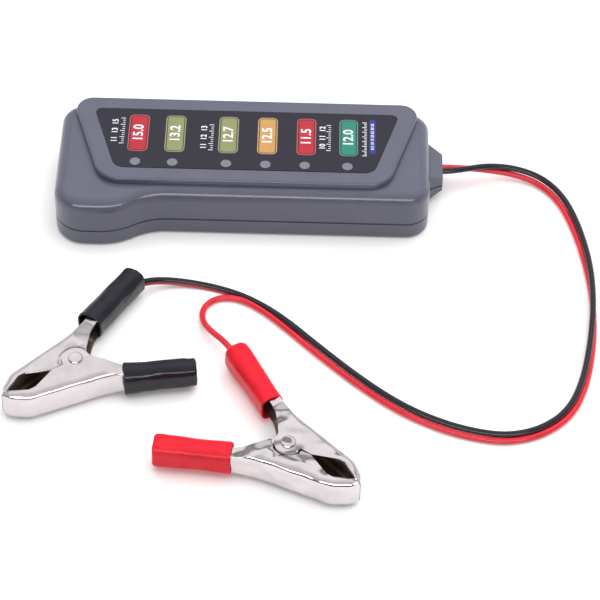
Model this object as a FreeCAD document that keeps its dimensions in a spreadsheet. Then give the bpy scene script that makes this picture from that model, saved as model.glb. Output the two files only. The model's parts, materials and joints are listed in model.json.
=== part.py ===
import FreeCAD, Part
import math
import os
import types

import Sketcher

Vector = FreeCAD.Vector
Rotation = FreeCAD.Rotation
Placement = FreeCAD.Placement
UP = Vector(0, 0, 1)

# How the drawing itself works, apart from the tester's sizes
LEVEL_TOLERANCE = 1e-4  # edges this close to a level lie on it
CUT_PAST = 2.0  # a cut reaches this many times past what it cuts
ARC_SHARE = 0.45  # share of a lead's run that each of its arcs takes
EDGE_SAMPLES = 6  # points along one edge of a spring when its gaps are measured

# Driving sizes in millimetres and degrees, one sheet row each: name, number, meaning
SIZES = (
    ("body_length", 122.0, "case from end to end, without the gland"),
    ("body_depth", 49.0, "case from the back wall to the front of the bulge"),
    ("bulge", 6.6, "how far the bulge stands out from the front wall"),
    ("bulge_end", 20.4, "left end to the corner where the bulge starts to fall back"),
    ("bulge_fall", 10.6, "length of the slope between the bulge and the front wall"),
    ("main_height", 18.5, "underside to the main top face"),
    ("panel_rise", 2.5, "raised panel above the main top face"),
    ("seam_height", 6.5, "underside to the seam between the two housings"),
    ("seam_gap", 0.25, "open line between the two housings"),
    ("wall", 2.0, "side walls of both housings"),
    ("ceiling", 2.0, "main top wall of the upper housing"),
    ("panel_wall", 2.4, "top wall under the raised panel"),
    ("floor_wall", 2.0, "bottom wall of the lower housing"),
    ("back_corner", 7.0, "plan radius of the two back corners"),
    ("bulge_corner", 10.0, "plan radius of the bulge's corner"),
    ("gland_corner", 7.5, "plan radius of the front corner beside the gland"),
    ("waist_round", 20.0, "plan radius of the two bends in the front wall"),
    ("top_round", 4.0, "round of the main top edge"),
    ("bottom_round", 1.5, "round of the bottom edge"),
    ("lip_height", 1.5, "locating lip of the lower housing above its rim"),
    ("lip_thickness", 0.9, "locating lip, across"),
    ("lip_clearance", 0.15, "room around the locating lip"),
    ("panel_middle", -2.0, "raised panel's middle along X"),
    ("panel_back_half", 58.5, "half the raised panel's back edge"),
    ("panel_front_half", 46.7, "half the raised panel's front edge"),
    ("panel_front", 10.1, "raised panel's front edge behind the bulge's front"),
    ("panel_back_corner", 5.5, "plan radius of the raised panel's back corners"),
    ("panel_front_corner", 9.0, "plan radius of the raised panel's front corners"),
    ("panel_round", 0.9, "round of the raised panel's top edge"),
    ("panel_hollow_half", 43.0, "half the hollow under the raised panel"),
    ("panel_hollow_margin", 4.1, "hollow behind the raised panel's front edge"),
    ("panel_hollow_depth", 28.0, "hollow under the raised panel, front to back"),
    ("label_thickness", 0.35, "face label"),
    ("label_sunk", 0.2, "how deep the face label lies in the panel"),
    ("label_clearance", 0.1, "room around the face label"),
    ("label_middle", -2.0, "face label's middle along X"),
    ("label_back_half", 50.6, "half the face label's back edge"),
    ("label_front_half", 42.1, "half the face label's front edge"),
    ("label_front", 5.3, "face label's front edge behind the panel's front edge"),
    ("label_depth", 27.9, "face label from front to back"),
    ("label_back_corner", 2.0, "plan radius of the face label's back corners"),
    ("label_front_corner", 4.5, "plan radius of the face label's front corners"),
    ("gland_length", 4.8, "gland beyond the end wall"),
    ("gland_width", 16.8, "gland across at the end wall"),
    ("gland_height", 11.8, "gland up and down at the end wall"),
    ("gland_taper", 27.0, "slope of the gland's sides"),
    ("gland_forward", 18.0, "gland's middle in front of the back wall"),
    ("gland_lift", 7.2, "gland's middle above the underside"),
    ("lead_forward", 17.0, "middle of the twin lead in front of the back wall at the gland"),
    ("lead_lift", 7.6, "twin lead's middle above the underside at the gland"),
    ("lead_diameter", 2.0, "one lead"),
    ("lead_spacing", 2.05, "from lead to lead at the gland"),
    ("lead_room", 0.2, "room around the leads in the gland"),
    ("screw_half_x", 50.0, "screws either side of the case's middle"),
    ("screw_back", 8.0, "back screws in front of the back wall"),
    ("screw_front", 28.0, "front screws in front of the back screws"),
    ("screw_shank", 1.25, "screw shank radius"),
    ("screw_length", 9.0, "screw shank"),
    ("screw_head", 2.4, "screw head radius"),
    ("screw_head_height", 1.6, "screw head"),
    ("screw_head_round", 0.5, "round of the screw head"),
    ("pilot_spare", 1.0, "pilot hole beyond a screw's tip"),
    ("screw_sink", 2.4, "screw seat above the underside"),
    ("screw_clearance", 0.1, "room around a screw"),
    ("cross_length", 2.6, "cross recess of a screw, end to end"),
    ("cross_width", 0.7, "cross recess of a screw, slot width"),
    ("cross_depth", 0.9, "cross recess of a screw, depth"),
    ("boss_radius", 3.4, "screw bosses"),
    ("board_length", 89.0, "circuit board along X"),
    ("board_depth", 27.0, "circuit board along Y"),
    ("board_thickness", 1.6, "circuit board"),
    ("board_lift", 10.4, "circuit board's underside above the case's underside"),
    ("board_middle", -2.4, "circuit board's middle along X"),
    ("board_front", 5.0, "circuit board's front edge in front of the lamp row"),
    ("post_inset_x", 5.0, "board posts inside the board's ends"),
    ("post_inset_y", 3.4, "board posts inside the board's long edges"),
    ("post_radius", 2.0, "board posts"),
    ("led_first", -37.6, "first lamp along X"),
    ("led_second", -25.5, "second lamp along X"),
    ("led_third", -8.0, "third lamp along X"),
    ("led_fourth", 4.8, "fourth lamp along X"),
    ("led_fifth", 17.6, "fifth lamp along X"),
    ("led_sixth", 31.5, "sixth lamp along X"),
    ("led_behind_label_front", 2.6, "lamp row behind the label's front edge"),
    ("led_radius", 1.6, "lamp lens radius"),
    ("led_flange", 1.95, "lamp flange radius"),
    ("led_flange_height", 1.0, "lamp flange"),
    ("led_round", 0.8, "round of the lamp's top"),
    ("led_proud", 0.1, "lamp above the label"),
    ("led_clearance", 0.1, "room around a lamp"),
    ("leg_radius", 0.3, "lamp leg"),
    ("leg_spacing", 2.54, "from leg to leg of a lamp"),
    ("leg_below_board", 1.2, "leg end under the board"),
    ("chip_length", 8.7, "control chip along X"),
    ("chip_depth", 3.9, "control chip along Y"),
    ("chip_height", 1.5, "control chip"),
    ("chip_legs", 7.0, "legs on each side of the chip"),
    ("chip_pitch", 1.2, "from leg to leg of the chip"),
    ("chip_leg_width", 0.4, "chip leg across"),
    ("chip_leg_length", 1.1, "chip leg outwards"),
    ("chip_leg_height", 0.7, "chip leg's height"),
    ("chip_stand", 0.2, "chip above the board"),
    ("chip_x", 10.0, "control chip right of the board's middle"),
    ("parts_row", 8.0, "chip, capacitor and diode row in front of the board's back edge"),
    ("resistor_length", 3.2, "series resistor along Y"),
    ("resistor_width", 1.6, "series resistor along X"),
    ("resistor_height", 0.6, "series resistor"),
    ("resistor_behind", 4.5, "series resistor behind its lamp"),
    ("capacitor_radius", 2.5, "smoothing capacitor"),
    ("capacitor_height", 5.4, "smoothing capacitor"),
    ("capacitor_round", 0.6, "round of the smoothing capacitor's top"),
    ("capacitor_x", -8.0, "smoothing capacitor right of the board's middle"),
    ("diode_radius", 1.3, "polarity diode"),
    ("diode_length", 5.2, "polarity diode"),
    ("diode_x", 24.0, "polarity diode right of the board's middle"),
    ("tie_width", 2.5, "cable tie along the lead"),
    ("tie_band", 1.0, "cable tie's band"),
    ("tie_gap", 0.1, "cable tie from the leads"),
    ("tie_head", 3.0, "cable tie's head, across and high"),
    ("sheet_metal", 0.8, "clip sheet"),
    ("clip_width", 10.6, "clip across its side plates"),
    ("clip_gap", 0.3, "running room between the two jaws of a clip"),
    ("tip_reach", 25.8, "rivet to the jaws' tip"),
    ("nose_length", 2.0, "flat nose where the jaws meet"),
    ("nose_set_back", 1.5, "nose's outer corner behind the tip"),
    ("nose_half", 2.9, "jaw's outer edge at its nose"),
    ("nose_round", 4.0, "plan radius of the nose"),
    ("cheek_x", 19.6, "rivet to the widest place of the jaw"),
    ("cheek_y", 6.3, "jaw's outer edge at its widest place"),
    ("cheek_round", 6.0, "plan radius at the jaw's widest place"),
    ("mouth_rear", 8.3, "rivet to the back of the mouth"),
    ("mouth_peak_rear", 15.8, "rivet to the back of the mouth's widest stretch"),
    ("mouth_peak_front", 18.2, "rivet to the front of the mouth's widest stretch"),
    ("mouth_half", 3.3, "half the mouth's width"),
    ("mouth_round", 1.0, "plan radius inside the mouth"),
    ("flare", 10.5, "slope of the jaw's outer edge"),
    ("handle_angle", 27.0, "handle's slope from the clip's axis"),
    ("handle_offset", 4.8, "handle's axis outside the line through the rivet"),
    ("tang_out", 2.2, "tang outside the handle's axis"),
    ("tang_in", 1.6, "tang inside the handle's axis"),
    ("tang_half", 3.9, "half the tang's height"),
    ("tang_bend", 40.0, "plan radius where the jaw runs into the tang"),
    ("tang_end", 36.0, "rivet to the tang's end along the handle"),
    ("taper_start", 8.0, "rivet to where the side plates draw in, along the handle"),
    ("taper_end", 15.2, "rivet to where the side plates are as narrow as the tang, along the handle"),
    ("ear_radius", 4.2, "ears around the rivet"),
    ("ear_room", 0.9, "stepped-in ring around the ears"),
    ("notch_x", 4.3, "rivet to the notch between the handles"),
    ("notch_y", 1.2, "half the notch"),
    ("throat", 14.0, "rivet to where the neck's inner edge meets the tang, along the handle"),
    ("throat_round", 14.0, "plan radius of the neck's inner edge"),
    ("notch_round", 3.0, "plan radius of the notch between the handles"),
    ("bend_round", 2.2, "outer bend of the sheet"),
    ("rivet_radius", 1.6, "rivet shank radius"),
    ("rivet_fit", 0.05, "room around the rivet shank"),
    ("rivet_head", 2.3, "rivet head radius"),
    ("rivet_head_height", 0.7, "rivet head"),
    ("rivet_round", 0.55, "round of the rivet head"),
    ("spring_radius", 3.0, "spring's coil to the middle of its wire"),
    ("spring_wire", 1.0, "spring wire"),
    ("spring_pitch", 1.45, "from turn to turn of the spring"),
    ("spring_turns", 3.0, "whole turns of the spring"),
    ("spring_arm", 11.0, "spring arm"),
    ("spring_arm_angle", 43.0, "spring arm's slope from the clip's axis"),
    ("sleeve_width", 8.2, "sleeves across, in the clip's plane"),
    ("sleeve_height", 10.2, "sleeves up and down"),
    ("sleeve_corner", 2.6, "round of a sleeve's section"),
    ("sleeve_wall", 0.7, "sleeves"),
    ("sleeve_end", 1.0, "closed end of a sleeve"),
    ("sleeve_round", 1.5, "round of a sleeve's closed end"),
    ("wire_sleeve_length", 25.5, "sleeve on a wire jaw"),
    ("grip_sleeve_length", 23.0, "sleeve on a grip jaw"),
    ("black_wire_sleeve_start", 16.8, "rivet to the black wire sleeve along the handle"),
    ("black_grip_sleeve_start", 14.2, "rivet to the black grip sleeve along the handle"),
    ("red_wire_sleeve_start", 17.2, "rivet to the red wire sleeve along the handle"),
    ("red_grip_sleeve_start", 16.4, "rivet to the red grip sleeve along the handle"),
    ("lead_hole_room", 0.15, "room around the lead in its sleeve"),
    ("black_lead_entry", 38.0, "rivet to where the black lead reaches its handle's axis"),
    ("red_lead_entry", 45.5, "rivet to where the red lead reaches its handle's axis"),
    ("crimp_wall", 0.3, "wire crimp"),
    ("crimp_fit", 0.05, "room around the lead in its crimp"),
    ("crimp_start", 24.0, "rivet to the crimp along the handle"),
    ("crimp_length", 6.0, "wire crimp"),
    ("black_clip_x", -51.1, "black clip's rivet along X"),
    ("black_clip_y", -83.8, "black clip's rivet along Y"),
    ("black_clip_turn", 215.0, "black clip's tip direction"),
    ("red_clip_x", 14.8, "red clip's rivet along X"),
    ("red_clip_y", -114.9, "red clip's rivet along Y"),
    ("red_clip_turn", 326.6, "red clip's tip direction"),
)

# Lead routes by hand, from under the board to the clips, in millimetres
BLACK_ROUTE = (
    (40.0, 6.48, 9.3), (51.0, 6.48, 7.6), (64.6, 6.48, 7.6), (71.4, 8.6, 7.0), (79.0, 11.6, 6.0),
    (88.6, 12.6, 4.2), (97.6, 9.6, 2.8), (104.2, 1.2, 2.4), (108.4, -12.5, 2.5), (111.0, -30.0, 2.8),
    (110.9, -47.4, 3.05), (108.9, -64.0, 3.0), (105.4, -80.6, 2.6), (100.2, -92.4, 2.4), (91.6, -99.8, 2.4),
    (81.6, -102.8, 2.4), (71.6, -101.6, 2.4), (60.6, -98.0, 2.4), (48.6, -91.4, 2.4), (36.4, -81.3, 2.4),
    (23.8, -68.9, 2.4), (11.6, -56.0, 2.2), (1.2, -47.6, 1.4), (-8.6, -43.2, 1.1), (-17.6, -41.4, 1.4),
    (-25.0, -41.6, 2.6), (-31.0, -43.6, 4.4),
)
RED_ROUTE = (
    (40.0, 8.53, 9.3), (51.0, 8.53, 7.6), (64.6, 8.53, 7.6), (71.6, 10.3, 5.8), (79.0, 11.6, 3.9),
    (88.0, 11.5, 2.4), (96.3, 8.5, 1.4), (102.7, 0.5, 1.1), (107.0, -12.9, 1.1), (110.0, -30.1, 1.1),
    (111.1, -47.5, 1.1), (110.0, -64.3, 1.1), (106.7, -81.2, 1.1), (101.4, -93.4, 1.1), (92.2, -101.2, 1.1),
    (81.6, -104.3, 1.1), (71.2, -103.1, 1.1), (60.0, -99.4, 1.1), (47.7, -92.7, 1.1), (35.4, -82.5, 1.1),
    (22.7, -70.1, 1.1), (10.8, -57.4, 1.1), (3.2, -50.6, 1.1), (-3.4, -47.2, 1.1), (-9.6, -47.6, 1.1),
    (-13.4, -51.6, 1.1), (-13.8, -57.2, 1.7), (-11.6, -63.0, 3.4),
)


# Sheet and sizes
class Size:
    """A size worked out from the sheet: its number, and the formula that binds it."""

    def __init__(self, value, formula):
        self.value = value
        self.formula = formula

    def __add__(self, other):
        other = as_size(other)
        return Size(self.value + other.value, f"({self.formula} + {other.formula})")

    def __sub__(self, other):
        other = as_size(other)
        return Size(self.value - other.value, f"({self.formula} - {other.formula})")

    def __mul__(self, other):
        other = as_size(other)
        return Size(self.value * other.value, f"({self.formula} * {other.formula})")

    def __truediv__(self, other):
        other = as_size(other)
        return Size(self.value / other.value, f"({self.formula} / {other.formula})")

    def __neg__(self):
        return Size(-self.value, f"(-1 * {self.formula})")


def as_size(item):
    if isinstance(item, Size):
        return item
    return Size(float(item), repr(float(item)))


def cosine(angle):
    return Size(math.cos(math.radians(angle.value)), f"cos({angle.formula})")


def sine(angle):
    return Size(math.sin(math.radians(angle.value)), f"sin({angle.formula})")


def root(square):
    return Size(math.sqrt(square.value), f"sqrt({square.formula})")


def tangent(angle):
    return Size(math.tan(math.radians(angle.value)), f"tan({angle.formula})")


doc = FreeCAD.newDocument("battery_tester")
sheet = doc.addObject("Spreadsheet::Sheet", "Sizes")
for row, (name, number, meaning) in enumerate(SIZES, start=1):
    sheet.set(f"A{row}", meaning)
    sheet.set(f"B{row}", str(number))
    sheet.setAlias(f"B{row}", name)
doc.recompute()
s = types.SimpleNamespace()
for name, number, meaning in SIZES:
    setattr(s, name, Size(float(sheet.get(name)), f"Sizes.{name}"))
NOUGHT = as_size(0.0)


# Drawing helpers
def new_body(name):
    return doc.addObject("PartDesign::Body", name)


def origin_feature(body, role):
    return next(feature for feature in body.Origin.OriginFeatures if feature.Role == role)


def new_sketch(body, name, plane="XY_Plane", lift=NOUGHT):
    sketch = body.newObject("Sketcher::SketchObject", name)
    sketch.AttachmentSupport = (origin_feature(body, plane), [""])
    sketch.MapMode = "FlatFace"
    sketch.setExpression("AttachmentOffset.Base.z", lift.formula)
    return sketch


def constrain(sketch, size, *definition):
    """A constraint whose number follows the sheet."""
    index = sketch.addConstraint(Sketcher.Constraint(*definition, size.value))
    sketch.setExpression(f"Constraints[{index}]", size.formula)


def pin_point(sketch, geometry, end, x, y):
    constrain(sketch, x, "DistanceX", -1, 1, geometry, end)
    constrain(sketch, y, "DistanceY", -1, 1, geometry, end)


def add_circle(sketch, x, y, radius):
    circle = Part.Circle(Vector(x.value, y.value, 0), UP, radius.value)
    index = sketch.addGeometry(circle)
    constrain(sketch, radius, "Radius", index)
    pin_point(sketch, index, 3, x, y)


def corner_cut(before, corner, after, radius):
    """Where a rounded corner starts and ends, its centre, and whether it turns left."""
    arriving = (corner - before).normalize()
    leaving = (after - corner).normalize()
    turn = arriving.x * leaving.y - arriving.y * leaving.x
    half_turn = math.atan2(abs(turn), arriving.dot(leaving)) / 2
    reach = radius * math.tan(half_turn)
    start = corner - arriving * reach
    end = corner + leaving * reach
    side = 1 if turn > 0 else -1
    centre = start + Vector(-arriving.y, arriving.x, 0) * (radius * side)
    return start, end, centre, side


def add_outline(sketch, corners):
    """Closed outline through corners (x, y) or (x, y, radius), with straight sides between its rounds."""
    points = [Vector(corner[0].value, corner[1].value, 0) for corner in corners]
    count = len(points)
    cuts = []
    for index, corner in enumerate(corners):
        if len(corner) == 3:
            after = points[(index + 1) % count]
            cuts.append(corner_cut(points[index - 1], points[index], after, corner[2].value))
        else:
            cuts.append(None)
    sides = []
    for index in range(count):
        following = (index + 1) % count
        start = cuts[index][1] if cuts[index] else points[index]
        end = cuts[following][0] if cuts[following] else points[following]
        sides.append(sketch.addGeometry(Part.LineSegment(start, end)))
    for index, corner in enumerate(corners):
        arriving = sides[index - 1]
        leaving = sides[index]
        if cuts[index] is None:
            sketch.addConstraint(Sketcher.Constraint("Coincident", arriving, 2, leaving, 1))
            pin_point(sketch, leaving, 1, corner[0], corner[1])
            continue
        start, end, centre, side = cuts[index]
        first, last = (start, end) if side > 0 else (end, start)
        first_angle = math.atan2(first.y - centre.y, first.x - centre.x)
        last_angle = math.atan2(last.y - centre.y, last.x - centre.x)
        circle = Part.Circle(centre, UP, corner[2].value)
        arc = sketch.addGeometry(Part.ArcOfCircle(circle, first_angle, last_angle))
        start_end, end_end = (1, 2) if side > 0 else (2, 1)
        sketch.addConstraint(Sketcher.Constraint("Tangent", arriving, 2, arc, start_end))
        sketch.addConstraint(Sketcher.Constraint("Tangent", leaving, 1, arc, end_end))
        constrain(sketch, corner[2], "Radius", arc)
        peg = sketch.addGeometry(Part.Point(points[index]), True)
        pin_point(sketch, peg, 1, corner[0], corner[1])
        sketch.addConstraint(Sketcher.Constraint("PointOnObject", peg, 1, arriving))
        sketch.addConstraint(Sketcher.Constraint("PointOnObject", peg, 1, leaving))


def add_rectangle(sketch, low_x, low_y, high_x, high_y):
    add_outline(sketch, ((low_x, low_y), (high_x, low_y), (high_x, high_y), (low_x, high_y)))


def add_feature(body, kind, name, sketch, length, reverse=False, symmetric=False):
    feature = body.newObject(f"PartDesign::{kind}", name)
    feature.Profile = sketch
    feature.setExpression("Length", length.formula)
    feature.Reversed = reverse
    if symmetric:
        feature.SideType = "Symmetric"
    return feature


def turn_feature(body, kind, name, sketch, axis="Z_Axis"):
    feature = body.newObject(f"PartDesign::{kind}", name)
    feature.Profile = sketch
    feature.ReferenceAxis = (origin_feature(body, axis), [""])
    feature.Angle = 360.0
    return feature


def round_edges(body, name, base, wanted, radius):
    """Fillet of the edges of the base feature for which wanted is true."""
    doc.recompute()
    names = [f"Edge{index}" for index, edge in enumerate(base.Shape.Edges, start=1) if wanted(edge)]
    fillet = body.newObject("PartDesign::Fillet", name)
    fillet.Base = (base, names)
    fillet.setExpression("Radius", radius.formula)
    return fillet


def turned_piece(name, outline):
    """A body of revolution about Z from an outline of (radius, height) corners."""
    body = new_body(name)
    sketch = new_sketch(body, name + "_profile", "XZ_Plane")
    add_outline(sketch, outline)
    turn_feature(body, "Revolution", name + "_turned", sketch)
    return body


def boolean(kind, name, base, tool):
    result = doc.addObject(f"Part::{kind}", name)
    result.Base = base
    result.Tool = tool
    return result


def group(name, pieces):
    result = doc.addObject("Part::Compound", name)
    result.Links = pieces
    return result


def place(item, x, y, z):
    item.setExpression("Placement.Base.x", as_size(x).formula)
    item.setExpression("Placement.Base.y", as_size(y).formula)
    item.setExpression("Placement.Base.z", as_size(z).formula)


def new_box(name, length, width, height, x, y, z):
    """A box with its low corner at x, y, z."""
    box = doc.addObject("Part::Box", name)
    box.setExpression("Length", length.formula)
    box.setExpression("Width", width.formula)
    box.setExpression("Height", height.formula)
    place(box, x, y, z)
    return box


def new_cylinder(name, radius, height, x, y, z):
    cylinder = doc.addObject("Part::Cylinder", name)
    cylinder.setExpression("Radius", radius.formula)
    cylinder.setExpression("Height", height.formula)
    place(cylinder, x, y, z)
    return cylinder


nodes = []


def finish(item, label):
    """Marks a document object as a sub-part of the tester."""
    item.Label = label
    nodes.append(item)
    return item


# Case levels and lines, from the middle of the whole tester's underside
left_end = -(s.body_length + s.gland_length) / 2
right_end = left_end + s.body_length
back_wall = s.body_depth / 2
bulge_front = -back_wall
front_wall = bulge_front + s.bulge
case_middle = left_end + s.body_length / 2
main_top = s.main_height
panel_top = main_top + s.panel_rise
label_floor = panel_top - s.label_sunk
label_top = label_floor + s.label_thickness
upper_rim = s.seam_height
lower_rim = s.seam_height - s.seam_gap
board_top = s.board_lift + s.board_thickness
panel_ceiling = panel_top - s.panel_wall
panel_front_line = bulge_front + s.panel_front
label_front_line = panel_front_line + s.label_front
led_line = label_front_line + s.led_behind_label_front
led_places = (s.led_first, s.led_second, s.led_third, s.led_fourth, s.led_fifth, s.led_sixth)
gland_middle = back_wall - s.gland_forward
lead_middle = back_wall - s.lead_forward
lead_radius = s.lead_diameter / 2
screw_places = tuple((case_middle + s.screw_half_x * side, back_wall - s.screw_back - s.screw_front * row)
                     for side in (-1, 1) for row in (0, 1))
board_left = s.board_middle - s.board_length / 2
board_back_line = led_line - s.board_front + s.board_depth
post_places = tuple((s.board_middle + (s.board_length / 2 - s.post_inset_x) * side,
                     board_back_line - s.board_depth / 2 + (s.board_depth / 2 - s.post_inset_y) * row)
                    for side in (-1, 1) for row in (-1, 1))


def case_outline(inset):
    """Plan outline of the case, drawn in by inset, with a corner where each round is."""
    slope_length = root(s.bulge * s.bulge + s.bulge_fall * s.bulge_fall)
    slope_shift = inset * (slope_length - s.bulge_fall) / s.bulge
    return (
        (left_end + inset, back_wall - inset, s.back_corner - inset),
        (left_end + inset, bulge_front + inset, s.bulge_corner - inset),
        (left_end + s.bulge_end - slope_shift, bulge_front + inset, s.waist_round - inset),
        (left_end + s.bulge_end + s.bulge_fall - slope_shift, front_wall + inset, s.waist_round + inset),
        (right_end - inset, front_wall + inset, s.gland_corner - inset),
        (right_end - inset, back_wall - inset, s.back_corner - inset),
    )


def trapezoid(middle, back, front, back_half, front_half, back_round, front_round):
    return (
        (middle - back_half, back, back_round),
        (middle - front_half, front, front_round),
        (middle + front_half, front, front_round),
        (middle + back_half, back, back_round),
    )


def add_gland(body, seam_side):
    """Half of the tapered cable gland on the end wall: seam_side is 1 above the seam and -1 below it."""
    sketch = new_sketch(body, "gland_section", "YZ_Plane", right_end - s.wall / 2)
    half_width = s.gland_width / 2
    half_height = s.gland_height / 2
    add_rectangle(sketch, gland_middle - half_width, s.gland_lift - half_height,
                  gland_middle + half_width, s.gland_lift + half_height)
    gland = add_feature(body, "Pad", "gland", sketch, s.gland_length + s.wall / 2)
    gland.setExpression("TaperAngle", (-s.gland_taper).formula)
    level = upper_rim if seam_side > 0 else lower_rim
    trim_sketch = new_sketch(body, "gland_trim_plan", "XY_Plane", level)
    add_rectangle(trim_sketch, right_end - s.wall, gland_middle - s.gland_width,
                  right_end + s.gland_length * CUT_PAST, gland_middle + s.gland_width)
    add_feature(body, "Pocket", "gland_trim", trim_sketch, s.gland_height * CUT_PAST, reverse=seam_side < 0)


def make_upper_housing():
    body = new_body("upper_housing_body")
    add_gland(body, 1)
    plan = new_sketch(body, "upper_plan", "XY_Plane", upper_rim)
    add_outline(plan, case_outline(NOUGHT))
    shell = add_feature(body, "Pad", "upper_block", plan, main_top - upper_rim)
    level = main_top.value
    rounded = round_edges(body, "main_top_round", shell,
                          lambda edge: abs(edge.BoundBox.ZMin - level) < LEVEL_TOLERANCE, s.top_round)
    panel_plan = new_sketch(body, "panel_plan", "XY_Plane", upper_rim)
    add_outline(panel_plan, trapezoid(s.panel_middle, back_wall, panel_front_line, s.panel_back_half,
                                      s.panel_front_half, s.panel_back_corner, s.panel_front_corner))
    panel = add_feature(body, "Pad", "panel_block", panel_plan, panel_top - upper_rim)
    top = panel_top.value
    round_edges(body, "panel_top_round", panel,
                lambda edge: abs(edge.BoundBox.ZMin - top) < LEVEL_TOLERANCE, s.panel_round)
    recess_plan = new_sketch(body, "label_recess_plan", "XY_Plane", label_floor)
    room = s.label_clearance
    add_outline(recess_plan, trapezoid(s.label_middle, label_front_line + s.label_depth + room,
                                       label_front_line - room, s.label_back_half + room,
                                       s.label_front_half + room, s.label_back_corner, s.label_front_corner))
    add_feature(body, "Pocket", "label_recess", recess_plan, s.panel_rise, reverse=True)
    hollow_plan = new_sketch(body, "hollow_plan", "XY_Plane", upper_rim)
    add_outline(hollow_plan, case_outline(s.wall))
    add_feature(body, "Pocket", "hollow", hollow_plan, main_top - s.ceiling - upper_rim, reverse=True)
    rebate_plan = new_sketch(body, "rebate_plan", "XY_Plane", upper_rim)
    add_outline(rebate_plan, case_outline(s.wall - s.lip_thickness - s.lip_clearance))
    add_feature(body, "Pocket", "rebate", rebate_plan, s.lip_height + s.lip_clearance, reverse=True)
    panel_hollow_plan = new_sketch(body, "panel_hollow_plan", "XY_Plane", upper_rim)
    hollow_front = panel_front_line + s.panel_hollow_margin
    add_rectangle(panel_hollow_plan, s.panel_middle - s.panel_hollow_half, hollow_front,
                  s.panel_middle + s.panel_hollow_half, hollow_front + s.panel_hollow_depth)
    add_feature(body, "Pocket", "panel_hollow", panel_hollow_plan, panel_ceiling - upper_rim, reverse=True)
    boss_plan = new_sketch(body, "boss_plan", "XY_Plane", upper_rim)
    for x, y in screw_places:
        add_circle(boss_plan, x, y, s.boss_radius)
    add_feature(body, "Pad", "bosses", boss_plan, main_top - s.ceiling / 2 - upper_rim)
    post_plan = new_sketch(body, "post_plan", "XY_Plane", board_top)
    for x, y in post_places:
        add_circle(post_plan, x, y, s.post_radius)
    add_feature(body, "Pad", "board_posts", post_plan, main_top - s.ceiling / 2 - board_top)
    pilot_plan = new_sketch(body, "pilot_plan", "XY_Plane", upper_rim)
    for x, y in screw_places:
        add_circle(pilot_plan, x, y, s.screw_shank + s.screw_clearance)
    pilot_top = s.screw_sink + s.screw_length + s.pilot_spare
    add_feature(body, "Pocket", "pilot_holes", pilot_plan, pilot_top - upper_rim, reverse=True)
    lamp_plan = new_sketch(body, "lamp_hole_plan", "XY_Plane", panel_ceiling)
    for x in led_places:
        add_circle(lamp_plan, x, led_line, s.led_radius + s.led_clearance)
    add_feature(body, "Pocket", "lamp_holes", lamp_plan, s.panel_wall, reverse=True)
    notch_plan = new_sketch(body, "lead_notch_plan", "YZ_Plane", right_end - s.wall * CUT_PAST)
    half_pair = (s.lead_spacing + s.lead_diameter) / 2 + s.lead_room
    add_rectangle(notch_plan, lead_middle - half_pair, upper_rim - s.wall,
                  lead_middle + half_pair, s.lead_lift + lead_radius + s.lead_room)
    notch_length = s.gland_length + s.wall * CUT_PAST * 2
    add_feature(body, "Pocket", "lead_notch", notch_plan, notch_length, reverse=True)
    return finish(body, "upper_housing")


def make_lower_housing():
    body = new_body("lower_housing_body")
    add_gland(body, -1)
    plan = new_sketch(body, "lower_plan")
    add_outline(plan, case_outline(NOUGHT))
    block = add_feature(body, "Pad", "lower_block", plan, lower_rim)
    round_edges(body, "bottom_round", block,
                lambda edge: edge.BoundBox.ZMax < LEVEL_TOLERANCE, s.bottom_round)
    hollow_plan = new_sketch(body, "tray_plan", "XY_Plane", s.floor_wall)
    add_outline(hollow_plan, case_outline(s.wall))
    add_feature(body, "Pocket", "tray", hollow_plan, s.seam_height, reverse=True)
    lip_plan = new_sketch(body, "lip_plan", "XY_Plane", lower_rim)
    add_outline(lip_plan, case_outline(s.wall - s.lip_thickness))
    add_outline(lip_plan, case_outline(s.wall))
    add_feature(body, "Pad", "lip", lip_plan, s.lip_height)
    boss_plan = new_sketch(body, "lower_boss_plan", "XY_Plane", s.floor_wall / 2)
    for x, y in screw_places:
        add_circle(boss_plan, x, y, s.boss_radius)
    add_feature(body, "Pad", "lower_bosses", boss_plan, upper_rim - s.floor_wall / 2)
    pillar_plan = new_sketch(body, "pillar_plan", "XY_Plane", s.floor_wall / 2)
    for x, y in post_places:
        add_circle(pillar_plan, x, y, s.post_radius)
    add_feature(body, "Pad", "board_pillars", pillar_plan, s.board_lift - s.floor_wall / 2)
    shank_plan = new_sketch(body, "shank_hole_plan")
    for x, y in screw_places:
        add_circle(shank_plan, x, y, s.screw_shank + s.screw_clearance)
    add_feature(body, "Pocket", "shank_holes", shank_plan, upper_rim, reverse=True)
    head_plan = new_sketch(body, "head_hole_plan")
    for x, y in screw_places:
        add_circle(head_plan, x, y, s.screw_head + s.screw_clearance)
    add_feature(body, "Pocket", "head_holes", head_plan, s.screw_sink, reverse=True)
    gap_plan = new_sketch(body, "lip_gap_plan", "YZ_Plane", right_end - s.wall * CUT_PAST)
    half_pair = (s.lead_spacing + s.lead_diameter) / 2 + s.lead_room
    add_rectangle(gap_plan, lead_middle - half_pair, lower_rim,
                  lead_middle + half_pair, s.lead_lift + s.lip_height)
    add_feature(body, "Pocket", "lip_gap", gap_plan, s.wall * CUT_PAST, reverse=True)
    return finish(body, "lower_housing")


def make_face_label():
    body = new_body("face_label_body")
    plan = new_sketch(body, "label_plan", "XY_Plane", label_floor)
    add_outline(plan, trapezoid(s.label_middle, label_front_line + s.label_depth, label_front_line,
                                s.label_back_half, s.label_front_half,
                                s.label_back_corner, s.label_front_corner))
    for x in led_places:
        add_circle(plan, x, led_line, s.led_radius + s.led_clearance)
    add_feature(body, "Pad", "label_sheet", plan, s.label_thickness)
    return finish(body, "face_label")


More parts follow.
